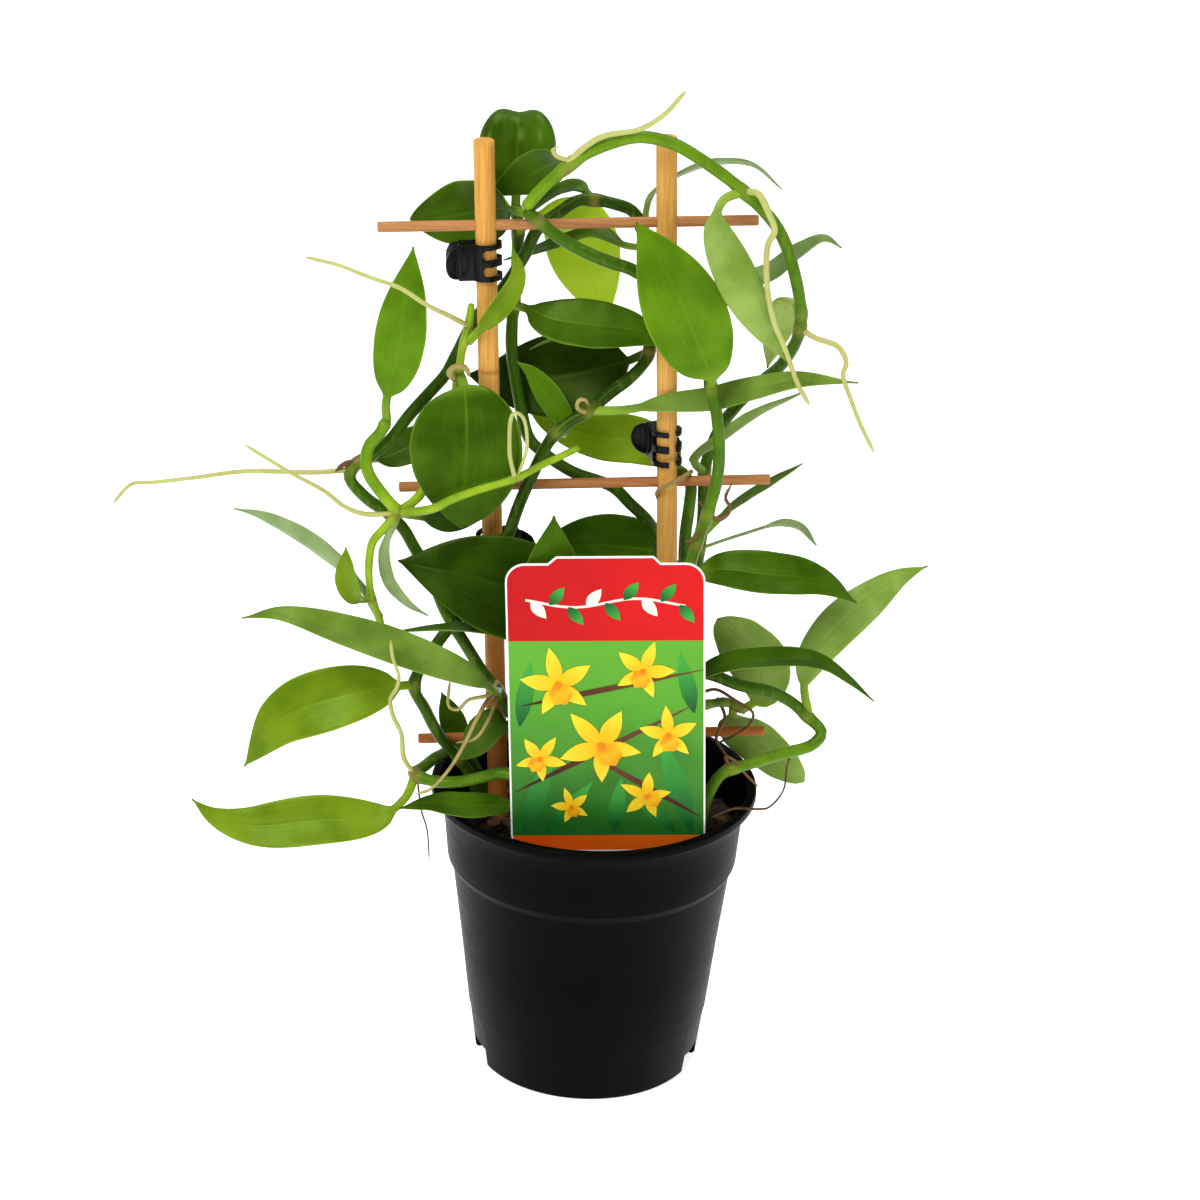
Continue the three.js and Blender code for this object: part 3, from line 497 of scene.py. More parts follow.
@dataclass(frozen=True)
class StemFinish:
    """The skin of a vine, which darkens with age and is pale and brown at its knots."""

    name: str = "vine_skin"
    ages: tuple[tuple[float, Colour], ...] = (
        (0.0, paint(160, 188, 40)), (0.3, paint(98, 136, 20)), (0.6, paint(58, 96, 12)),
        (1.0, paint(30, 54, 8)),
    )
    streak: Colour = paint(128, 156, 60)
    pale_knot: Colour = paint(134, 140, 52)
    brown_scar: Colour = paint(128, 100, 56)
    cloud_size: float = 9.0
    streak_size: float = 1.6
    ridge_size: float = 1.1

    def material(self) -> bpy.types.Material:
        """Build the material.

        Returns:
            The new material.
        """
        shader = Shader(self.name, 0.34, 0.3, WAX)
        age, knot = shader.mark("age"), shader.mark("knot")
        cloud = shader.grain(self.cloud_size, detail=4.0)
        green = shader.ramp(shader.varied(age, cloud, 0.5), self.ages)
        streaks = shader.band(shader.grain(self.streak_size, (1.0, 1.0, 9.0), 2.0), 0.5, 0.75, 0.22)
        green = shader.mix(streaks, green, self.streak)
        colour = shader.mix(shader.times(knot, 0.4), green, self.pale_knot)
        brown = shader.times(shader.band(knot, 0.82, 0.97, 0.7), shader.band(cloud, 0.48, 0.62))
        colour = shader.mix(brown, colour, self.brown_scar)
        shader.relief(shader.grain(self.ridge_size, (1.0, 1.0, 6.0)), 0.1, 0.6)
        return shader.finish(colour)


@dataclass(frozen=True)
class RootFinish:
    """The dull bark of an aerial root, yellow-green when young and brown when old."""

    name: str = "root_skin"
    ages: tuple[tuple[float, Colour], ...] = (
        (0.0, paint(180, 190, 110)), (0.35, paint(172, 158, 92)), (0.65, paint(122, 90, 46)),
        (1.0, paint(54, 34, 20)),
    )
    cloud_size: float = 5.0
    grit_size: float = 0.8

    def material(self) -> bpy.types.Material:
        """Build the material.

        Returns:
            The new material.
        """
        shader = Shader(self.name, 0.62, 0.3)
        aged = shader.varied(shader.mark("age"), shader.grain(self.cloud_size), 0.35)
        colour = shader.ramp(aged, self.ages)
        shader.relief(shader.grain(self.grit_size), 0.12, 0.7)
        return shader.finish(colour)


@dataclass(frozen=True)
class BambooFinish:
    """Bamboo: long fibres, darker scars, specks, and a damp foot."""

    name: str
    light: Colour
    dark: Colour
    roughness: float
    along: Point
    turn: Point = (0.0, 0.0, 0.0)
    damp: Colour = paint(178, 100, 38)
    scar: Colour = paint(120, 74, 34)
    spot: Colour = paint(146, 92, 44)
    speck: Colour = paint(84, 52, 26)
    fibre_size: float = 0.7
    broad_size: float = 4.0
    damp_heights: Pair = (0.27, 0.11)

    def material(self) -> bpy.types.Material:
        """Build the material.

        Returns:
            The new material.
        """
        shader = Shader(self.name, self.roughness, 0.22)
        fibre = shader.grain(self.fibre_size, self.along, 3.0, self.turn)
        broad = shader.grain(self.broad_size, self.along, 3.0, self.turn)
        share = shader.blended(fibre, broad, 0.5)
        colour = shader.mix(shader.band(share, 0.34, 0.6), self.dark, self.light)
        colour = shader.mix(shader.times(shader.mark("knot"), 0.55), colour, self.scar)
        spots = shader.band(shader.grain(1.8, (1.0, 1.0, 2.4), 2.0), 0.7, 0.78, 0.4)
        colour = shader.mix(spots, colour, self.spot)
        specks = shader.band(shader.grain(0.5, (1.0, 1.0, 1.8), 1.0), 0.71, 0.78, 0.7)
        colour = shader.mix(specks, colour, self.speck)
        place = shader.node("ShaderNodeSeparateXYZ")
        shader.feed(place.inputs[0], shader.node("ShaderNodeTexCoord").outputs["Object"])
        damp = shader.band(place.outputs["Z"], *self.damp_heights, 0.9)
        colour = shader.mix(damp, colour, self.damp)
        shader.relief(fibre, 0.08, 0.6)
        rough = shader.plus(shader.times(broad, 0.25), self.roughness - 0.12)
        return shader.finish(colour, rough)


@dataclass(frozen=True)
class PlasticFinish:
    """Moulded plastic with fine flow marks, scuffs and a little dust."""

    name: str
    colour: Colour
    dust: Colour
    roughness: float
    specular: float = 0.4
    dusty: float = 0.25
    cloud_size: float = 18.0
    speck_size: float = 0.55
    scuff_size: float = 1.4
    relief_size: float = 0.7

    def material(self) -> bpy.types.Material:
        """Build the material.

        Returns:
            The new material.
        """
        shader = Shader(self.name, self.roughness, self.specular)
        cloud = shader.grain(self.cloud_size, (1.0, 1.0, 0.5), 5.0)
        specks = shader.grain(self.speck_size, detail=1.0)
        colour = shader.mix(shader.band(cloud, 0.45, 0.75, self.dusty), self.colour, self.dust)
        colour = shader.mix(shader.band(specks, 0.7, 0.78, self.dusty), colour, self.dust)
        scuffs = shader.grain(self.scuff_size, (14.0, 14.0, 1.0), 2.0)
        rough = shader.plus(shader.times(scuffs, 0.2), self.roughness - 0.1)
        shader.relief(shader.grain(self.relief_size), 0.05, 0.4)
        return shader.finish(colour, rough)


@dataclass(frozen=True)
class BarkFinish:
    """Damp potting bark: dark brown chips, each another shade, a few of them pale."""

    name: str = "potting_bark_chips"
    shades: tuple[tuple[float, Colour], ...] = (
        (0.1, paint(24, 17, 13)), (0.45, paint(52, 36, 26)), (0.75, paint(96, 66, 44)),
        (1.0, paint(140, 104, 70)),
    )
    grain_size: float = 2.4

    def material(self) -> bpy.types.Material:
        """Build the material.

        Returns:
            The new material.
        """
        shader = Shader(self.name, 0.85, 0.25)
        rough = shader.grain(self.grain_size, (1.0, 1.0, 0.5), 5.0)
        colour = shader.ramp(shader.blended(shader.mark("age"), rough, 0.6), self.shades)
        shader.relief(rough, 0.5, 0.9)
        return shader.finish(colour)


@dataclass(frozen=True)
class PrintFinish:
    """Printed card: a colour that shades from one end of the motif to the other, under a thin gloss."""

    name: str
    start: Colour
    end: Colour
    grain: float = 14.0

    def material(self) -> bpy.types.Material:
        """Build the material.

        Returns:
            The new material.
        """
        shader = Shader(self.name, 0.36, 0.15)
        cloud = shader.grain(self.grain, detail=2.0)
        share = shader.plus(shader.mark("along"), shader.times(cloud, 0.5))
        colour = shader.mix(shader.band(share, 0.15, 1.25), self.start, self.end)
        return shader.finish(colour)


# Mesh tools


@dataclass(frozen=True)
class Frame:
    """One place on a run: its point, its direction and the two ways across it."""

    share: float
    point: Vector
    tangent: Vector
    normal: Vector
    side: Vector

    def spun(self, angle: float) -> "Frame":
        """Turn the frame about its own direction.

        Args:
            angle: The turn in radians.

        Returns:
            The turned frame.
        """
        turn = Quaternion(self.tangent, angle)
        return Frame(self.share, self.point, self.tangent, turn @ self.normal, turn @ self.side)


class Run:
    """A smooth line through points, read by its share of the length."""

    SPANS = 20
    NUDGE = 0.002
    LEAST_GAP = 1e-5

    def __init__(self, points: Sequence[Point]) -> None:
        """Draw the line.

        Args:
            points: The points in millimetres.
        """
        knots = [Vector(point) * MM for point in points]
        knots = [2 * knots[0] - knots[1], *knots, 2 * knots[-1] - knots[-2]]
        self.line = [knots[1].copy()]
        for k in range(len(knots) - 3):
            self.line += self._span(*knots[k:k + 4])
        self.lengths = [0.0]
        for start, end in zip(self.line, self.line[1:]):
            self.lengths.append(self.lengths[-1] + (end - start).length)

    def _span(self, before: Vector, start: Vector, end: Vector, after: Vector) -> list[Vector]:
        """Draw one span of a centripetal spline.

        Args:
            before: The point before the span.
            start: The span's first point.
            end: The span's last point.
            after: The point after the span.

        Returns:
            The points after the first one.
        """
        first, middle, last = (
            max((b - a).length ** 0.5, self.LEAST_GAP)
            for a, b in ((before, start), (start, end), (end, after))
        )
        out = (start - before) / first - (end - before) / (first + middle) + (end - start) / middle
        into = (end - start) / middle - (after - start) / (middle + last) + (after - end) / last
        out *= middle
        into *= middle
        points = []
        for k in range(1, self.SPANS + 1):
            t = k / self.SPANS
            bend = (2 * start - 2 * end + out + into) * t ** 3
            bend += (3 * end - 3 * start - 2 * out - into) * t ** 2
            points.append(start + out * t + bend)
        return points

    @property
    def length(self) -> float:
        """The whole length in metres."""
        return self.lengths[-1]

    def at(self, share: float) -> Vector:
        """Give the point at a share of the length.

        Args:
            share: The share, 0 to 1.

        Returns:
            The point.
        """
        goal = min(max(share, 0.0), 1.0) * self.length
        high = min(bisect_right(self.lengths, goal), len(self.lengths) - 1)
        low = high - 1
        gap = self.lengths[high] - self.lengths[low]
        return self.line[low].lerp(self.line[high], (goal - self.lengths[low]) / max(gap, 1e-9))

    def nearest(self, point: Vector) -> Pair:
        """Find the place on the line that is nearest to a point.

        Args:
            point: The point in metres.

        Returns:
            The share of the length and the distance.
        """
        best = min(range(len(self.line)), key=lambda k: (self.line[k] - point).length)
        return self.lengths[best] / self.length, (self.line[best] - point).length

    def frames(self, steps: int, face: Sequence[float]) -> list[Frame]:
        """Carry a frame along the line without twist, from the middle outwards.

        Args:
            steps: The number of steps.
            face: The way that the frame's normal looks at the middle.

        Returns:
            One frame for each step and one for the start.
        """
        shares = [k / steps for k in range(steps + 1)]
        points = [self.at(share) for share in shares]
        ahead = [self.at(share + self.NUDGE) for share in shares]
        behind = [self.at(share - self.NUDGE) for share in shares]
        tangents = [(last - first).normalized() for first, last in zip(behind, ahead)]
        middle = round(steps / 2)
        normals: dict[int, Vector] = {}

        def square(vector: Vector, tangent: Vector) -> Vector:
            """Turn a vector square to the line."""
            return (vector - tangent * vector.dot(tangent)).normalized()

        normals[middle] = square(Vector(face), tangents[middle])
        for k in range(middle + 1, steps + 1):
            normals[k] = square(normals[k - 1], tangents[k])
        for k in range(middle - 1, -1, -1):
            normals[k] = square(normals[k + 1], tangents[k])
        return [
            Frame(shares[k], points[k], tangents[k], normals[k], tangents[k].cross(normals[k]))
            for k in range(steps + 1)
        ]


class Skin:
    """One mesh that gathers closed skins, with the marks that its materials read."""

    MARKS = ("along", "across", "skin", "age", "knot")
    SAME = 1e-6
    SEAM = 1e-7

    def __init__(self) -> None:
        """Start an empty mesh."""
        self.mesh = bmesh.new()
        self.layers = {name: self.mesh.verts.layers.float.new(name) for name in self.MARKS}

    def tube(self, rings: Sequence[Sequence[Vector]], marks: dict[str, Mark], material: int = 0) -> None:
        """Wrap a closed skin round rings of points.

        Args:
            rings: The rings, all with as many points.
            marks: For each mark, its value at a ring and a point.
            material: The index of the material.
        """
        count, corners = len(rings), len(rings[0])
        grid = bmesh.ops.create_grid(
            self.mesh, x_segments=count - 1, y_segments=corners, size=0.5,
        )["verts"]
        seam, ends = [], []
        for vert in grid:
            i = round((vert.co.x + 0.5) * (count - 1))
            k = round((vert.co.y + 0.5) * corners)
            vert.co = rings[i][k % corners]
            for name, mark in marks.items():
                vert[self.layers[name]] = mark(i, k % corners)
            if k in (0, corners):
                seam.append(vert)
            if i in (0, count - 1):
                ends.append(vert)
        bmesh.ops.remove_doubles(self.mesh, verts=seam, dist=self.SEAM)
        rims = {edge for vert in ends if vert.is_valid for edge in vert.link_edges}
        open_edges = [edge for edge in rims if edge.is_boundary]
        bmesh.ops.holes_fill(self.mesh, edges=open_edges, sides=0)
        faces = list({face for vert in grid if vert.is_valid for face in vert.link_faces})
        bmesh.ops.recalc_face_normals(self.mesh, faces=faces)
        for face in faces:
            face.smooth = True
            face.material_index = material

    def turned(self, profile: Sequence[Pair], steps: int, round_off: float) -> None:
        """Turn a profile about the upright axis.

        Args:
            profile: Radii and heights in millimetres, from the axis and back to it.
            steps: The number of steps of the turn.
            round_off: The width in millimetres by which sharp rings are rounded.
        """
        verts = [self.mesh.verts.new((radius * MM, 0.0, height * MM)) for radius, height in profile]
        edges = [self.mesh.edges.new(pair) for pair in zip(verts, verts[1:])]
        bmesh.ops.spin(
            self.mesh, geom=verts + edges, cent=(0, 0, 0), axis=(0, 0, 1), angle=math.tau,
            steps=steps, use_merge=True,
        )
        bmesh.ops.remove_doubles(self.mesh, verts=self.mesh.verts[:], dist=self.SAME)
        bmesh.ops.recalc_face_normals(self.mesh, faces=self.mesh.faces[:])
        self.soften(round_off)

    def soften(self, width: float, angle: float = 24.0, segments: int = 2) -> None:
        """Round the sharp edges and smooth the faces.

        Args:
            width: The width in millimetres.
            angle: The least angle in degrees between two faces of a sharp edge.
            segments: The number of segments.
        """
        least = math.radians(angle)
        folds = [edge for edge in self.mesh.edges if edge.is_manifold]
        sharp = [edge for edge in folds if edge.calc_face_angle() > least]
        bmesh.ops.bevel(
            self.mesh, geom=sharp, offset=width * MM, offset_type="OFFSET", segments=segments,
            profile=0.5, affect="EDGES", material=-1,
        )
        for face in self.mesh.faces:
            face.smooth = True

    def slab(
        self, outline: Sequence[Pair], back: float, front: float,
        shades: Sequence[float] | None = None, material: int = 0,
    ) -> None:
        """Raise a flat motif out of an outline in the upright plane.

        Args:
            outline: Points across and up, in millimetres.
            back: The depth of its back in millimetres.
            front: The depth of its front in millimetres.
            shades: The mark of each point.
            material: The index of the material.
        """
        verts = [self.mesh.verts.new((x * MM, back * MM, z * MM)) for x, z in outline]
        for vert, shade in zip(verts, shades or [0.5] * len(verts)):
            vert[self.layers["along"]] = shade
        base = self.mesh.faces.new(verts)
        grown = bmesh.ops.extrude_face_region(self.mesh, geom=[base], use_keep_orig=True)["geom"]
        moved = [part for part in grown if isinstance(part, bmesh.types.BMVert)]
        bmesh.ops.translate(self.mesh, verts=moved, vec=(0, (front - back) * MM, 0))
        faces = list({face for vert in [*verts, *moved] for face in vert.link_faces})
        bmesh.ops.recalc_face_normals(self.mesh, faces=faces)
        for face in faces:
            face.material_index = material

    def block(self, size: Point, place: Matrix, shade: float, ragged: float, seed: int) -> None:
        """Add one broken chip.

        Args:
            size: Its sides in millimetres.
            place: Its turn and place.
            shade: Its mark of shade.
            ragged: How far its corners stray, in millimetres.
            seed: The seed of the draw.
        """
        verts = bmesh.ops.create_icosphere(self.mesh, subdivisions=2, radius=1.0)["verts"]
        draw = random.Random(seed)
        for vert in verts:
            spread = sum(abs(c) ** 5 for c in vert.co) ** 0.2
            stray = [draw.uniform(-ragged, ragged) for _ in range(3)]
            vert.co = Vector((c / spread * side / 2 + s) * MM for c, side, s in zip(vert.co, size, stray))
            vert[self.layers["age"]] = shade
        bmesh.ops.transform(self.mesh, matrix=place, verts=verts)

    def piece(
        self, name: str, finishes: Sequence[bpy.types.Material], slot: str, *nodes: str, body: str = HOLDER,
    ) -> bpy.types.Object:
        """Hand the mesh over as a piece of the object.

        Args:
            name: The piece's name.
            finishes: Its materials.
            slot: The material slot of the record; not used.
            nodes: The frame's nodes that it stands for.
            body: The body that it rides on.

        Returns:
            The piece.
        """
        data = bpy.data.meshes.new(name)
        self.mesh.to_mesh(data)
        self.mesh.free()
        made = bpy.data.objects.new(name, data)
        bpy.context.scene.collection.objects.link(made)
        for finish in finishes:
            data.materials.append(finish)
        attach(made, body)
        if nodes:
            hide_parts(*nodes)
        LOG.info("%s: %d faces", name, len(data.polygons))
        return made


def round_ring(frame: Frame, radius: float, corners: int) -> list[Vector]:
    """Set points in a circle about a frame.

    Args:
        frame: The frame.
        radius: The radius in millimetres.
        corners: The number of points.

    Returns:
        The points.
    """
    ring = []
    for k in range(corners):
        angle = math.tau * k / corners
        arm = frame.normal * math.cos(angle) + frame.side * math.sin(angle)
        ring.append(frame.point + arm * radius * MM)
    return ring


def between(stops: Sequence[Pair], share: float) -> float:
    """Read a value between stops.

    Args:
        stops: Places and values, in rising order of place.
        share: The place to read.

    Returns:
        The value there.
    """
    if share <= stops[0][0]:
        return stops[0][1]
    for (low, first), (high, last) in zip(stops, stops[1:]):
        if share <= high:
            return first + (last - first) * (share - low) / (high - low)
    return stops[-1][1]


# Pot and bark


@dataclass
class Pot:
    """A moulded nursery pot: tapered wall, banded top, small lip, slots in its foot and drain holes."""

    height: float = 112.0
    lip: float = 60.0
    wall: float = 1.8
    floor: float = 2.4
    foot: float = 41.8
    shoulder: float = 52.1
    step: float = 79.8
    band: float = 82.8
    slots: tuple[float, ...] = (-108.0, -72.0, 72.0, 108.0)
    slot_size: float = 16.0
    drains: int = 6
    drain_radius: float = 3.5
    drain_ring: float = 22.0
    finish: PlasticFinish = PlasticFinish(
        "black_pot_plastic", paint(2, 2, 3), paint(9, 9, 10), roughness=0.4, specular=0.035,
    )

    def side(self, z: float) -> float:
        """Give the outer radius of the tapered wall at a height."""
        return self.foot + (self.shoulder - self.foot) * z / self.band

    def profile(self) -> Outline:
        """Draw the pot's section.

        Returns:
            The section from the floor's middle up the outside and down the inside.
        """
        side, wall, top, band = self.side, self.wall, self.height, self.band
        outside = [
            (0.0, 0.0), (self.foot - 1, 0.0), (self.foot, 1.0), (side(20), 20.0), (side(20) + 0.5, 21.5),
            (side(50), 50.0), (side(self.step), self.step), (53.6, band), (54.4, 92.0), (55.2, 100.8),
            (56.6, 106.3), (self.lip, 108.8), (self.lip, top - 0.6), (self.lip - 0.6, top),
        ]
        inside = [
            (57.0, top), (55.8, 108.8), (53.4, 100.8), (51.8, band), (side(self.step) - wall, self.step),
            (side(40) - wall, 40.0), (40.0, self.floor), (0.0, self.floor),
        ]
        return outside + inside

    def cutters(self) -> list[bpy.types.Object]:
        """Make the shapes of the foot slots and of the drain holes.

        Returns:
            The shapes.
        """
        made = []
        for degrees in self.slots:
            tool = bmesh.new()
            turn = Matrix.Rotation(math.radians(degrees), 4, "Z")
            place = turn @ Matrix.Translation((0, -self.foot * MM, 0))
            size = Matrix.Diagonal((self.slot_size, self.slot_size, self.slot_size, 1))
            bmesh.ops.create_cube(tool, size=MM, matrix=place @ size)
            made.append(tool)
        for k in range(self.drains):
            tool = bmesh.new()
            turn = Matrix.Rotation(math.tau * k / self.drains, 4, "Z")
            radius = self.drain_radius * MM
            bmesh.ops.create_cone(
                tool, cap_ends=True, segments=24, radius1=radius, radius2=radius, depth=8 * MM,
                matrix=turn @ Matrix.Translation((self.drain_ring * MM, 0, 0)),
            )
            made.append(tool)
        objects = []
        for k, tool in enumerate(made):
            data = bpy.data.meshes.new(f"cutter_{k}")
            tool.to_mesh(data)
            tool.free()
            objects.append(bpy.data.objects.new(f"cutter_{k}", data))
            bpy.context.scene.collection.objects.link(objects[-1])
        return objects

    def build(self) -> bpy.types.Object:
        """Turn the wall, then cut the slots and holes.

        Returns:
            The pot.
        """
        skin = Skin()
        skin.turned(self.profile(), steps=96, round_off=0.3)
        pot = skin.piece("nursery_pot", [self.finish.material()], "pot", "pot")
        cutters = self.cutters()
        for cutter in cutters:
            cut = pot.modifiers.new(cutter.name, "BOOLEAN")
            cut.operation = "DIFFERENCE"
            cut.solver = "EXACT"
            cut.object = cutter
        graph = bpy.context.evaluated_depsgraph_get()
        shaped = bpy.data.meshes.new_from_object(pot.evaluated_get(graph))
        pot.modifiers.clear()
        pot.data = shaped
        for cutter in cutters:
            bpy.data.objects.remove(cutter)
        return pot


@dataclass
class Bark:
    """The potting bark: a plug that fills the pot under a loose layer of broken chips."""

    level: float = 95.0
    reach: float = 47.5
    inset: float = 0.5
    bottom: float = 2.9
    chips: int = 300
    fine_share: float = 0.45
    fine: Pair = (3.0, 6.0)
    coarse: Pair = (7.0, 14.0)
    tilt: float = 0.45
    ragged: float = 0.55
    pale_share: float = 0.1
    seed: int = 11
    finish: BarkFinish = BarkFinish()

    def build(self, pot: Pot) -> bpy.types.Object:
        """Fill the pot.

        Args:
            pot: The pot.

        Returns:
            The bark.
        """
        skin = Skin()
        inset = pot.wall + self.inset
        skin.turned([
            (0.0, self.bottom), (pot.foot - inset, self.bottom), (pot.side(pot.step) - inset, pot.step),
            (51.3, pot.band), (52.0, self.level - 3), (30.0, self.level - 1.5), (0.0, self.level - 1),
        ], steps=64, round_off=0.5)
        draw = random.Random(self.seed)
        for k in range(self.chips):
            radius = self.reach * math.sqrt(draw.random())
            angle = math.tau * draw.random()
            length = draw.uniform(*(self.fine if draw.random() < self.fine_share else self.coarse))
            size = (length, length * draw.uniform(0.4, 0.75), draw.uniform(1.4, 3.4))
            rise = self.level + draw.uniform(-2.5, 1.6)
            tilts = draw.uniform(-self.tilt, self.tilt), draw.uniform(-self.tilt, self.tilt)
            turn = Euler((*tilts, draw.uniform(0, math.tau)))
            spot = radius * math.cos(angle) * MM, radius * math.sin(angle) * MM, rise * MM
            place = Matrix.Translation(spot) @ turn.to_matrix().to_4x4()
            shade = draw.uniform(0.0, 0.75) if draw.random() < 1 - self.pale_share else 1.0
            skin.block(size, place, shade, self.ragged, self.seed + k)
        return skin.piece("bark_mix", [self.finish.material()], "bark", "potting_bark")


# Trellis and clips


@dataclass
class Trellis:
    """Two bamboo canes with three thin sticks pushed through them; it leans and turns a little."""

    lean: float = 2.2
    yaw: float = 2.8
    spacing: float = 62.5
    bottom: float = 52.0
    top: float = 356.0
    cane: float = 3.7
    cane_knots: tuple[Pair, Pair] = ((96.0, 221.0), (71.0, 187.0))
    stick: float = 1.9
    step: float = 1.6
    slack: float = 0.985
    swell: float = 0.03
    swell_width: float = 1.8
    scar_width: float = 1.1
    wave: float = 0.012
    wave_length: float = 20.0
    cut_width: float = 0.4
    cut_share: float = 0.86
    rungs: tuple[tuple[str, float, float, float], ...] = (
        ("stick_bottom", 130.3, -60, 67), ("stick_middle", 229.4, -64, 68), ("stick_top", 325.6, -68.5, 63),
    )
    cane_finishes: tuple[BambooFinish, BambooFinish] = (
        BambooFinish(
            "bamboo_cane_damp", paint(216, 162, 76), paint(192, 132, 52), 0.55, (1.0, 1.0, 30.0),
            turn=(0, 2.2, 0),
        ),
        BambooFinish(
            "bamboo_cane_dry", paint(222, 170, 84), paint(202, 144, 62), 0.55, (1.0, 1.0, 30.0),
            turn=(0, 2.2, 0), damp=paint(196, 136, 62),
        ),
    )
    stick_finish: BambooFinish = BambooFinish(
        "bamboo_stick", paint(184, 130, 78), paint(156, 98, 54), 0.62, (26.0, 1.0, 1.0), turn=(0, 2.2, 0),
    )

    def point(self, across: float, up: float) -> Point:
        """Give a point of the trellis in millimetres.

        Args:
            across: The distance across it from its middle.
            up: The distance up along it.

        Returns:
            The point.
        """
        lean, yaw = math.radians(self.lean), math.radians(self.yaw)
        x = across * math.cos(lean) - up * math.sin(lean)
        z = across * math.sin(lean) + up * math.cos(lean)
        return x * math.cos(yaw), x * math.sin(yaw), z

    def _rod(
        self, start: Point, end: Point, radius: float, corners: int, knots: Sequence[float], seed: int,
    ) -> Skin:
        """Make one rod with slightly raised scars and softly cut ends.

        Args:
            start: Its first end in millimetres.
            end: Its other end.
            radius: Its radius in millimetres.
            corners: The number of points round it.
            knots: The scars' distances from the start, in millimetres.
            seed: The seed of its small bends.

        Returns:
            Its skin.
        """
        run = Run([start, end])
        length = run.length / MM
        steps = max(2, round(length / self.step))
        frames = run.frames(steps, (0, -1, 0))
        first = frames[0]
        shares = [frame.share * length for frame in frames]
        near = [min([abs(place - knot) for knot in knots] or [FAR]) for place in shares]
        rings = []
        for i, frame in enumerate(frames):
            swell = self.swell * math.exp(-(near[i] / self.swell_width) ** 2)
            wave = self.wave * noise.noise(Vector((shares[i] / self.wave_length, seed, 0)))
            rings.append(round_ring(frame, radius * (self.slack + swell + wave), corners))
        caps = [
            [frame.point + (point - frame.point) * self.cut_share for point in ring]
            for ring, frame in ((rings[0], first), (rings[-1], frames[-1]))
        ]
        rings[0] = [point + first.tangent * self.cut_width * MM for point in rings[0]]
        rings[-1] = [point - first.tangent * self.cut_width * MM for point in rings[-1]]
        rings = [caps[0], *rings, caps[1]]
        marks = [0.0, *[math.exp(-(gap / self.scar_width) ** 2) for gap in near], 0.0]
        skin = Skin()
        skin.tube(rings, {"knot": lambda i, k: marks[i]})
        return skin

    def build(self) -> list[bpy.types.Object]:
        """Make the canes and sticks.

        Returns:
            The pieces.
        """
        made = []
        thin = self.stick_finish.material()
        sides = (("left", -1), ("right", 1))
        for (name, hand), knots, finish in zip(sides, self.cane_knots, self.cane_finishes):
            across = hand * self.spacing / 2
            ends = self.point(across, self.bottom), self.point(across, self.top)
            skin = self._rod(*ends, self.cane, 28, knots, 3 + hand)
            made.append(skin.piece(f"bamboo_{name}", [finish.material()], "cane", f"cane_{name}"))
        for name, up, left, right in self.rungs:
            ends = self.point(left, up), self.point(right, up)
            skin = self._rod(*ends, self.stick, 14, (), round(up))
            made.append(skin.piece(f"bamboo_{name}", [thin], "stick", name))
        return made


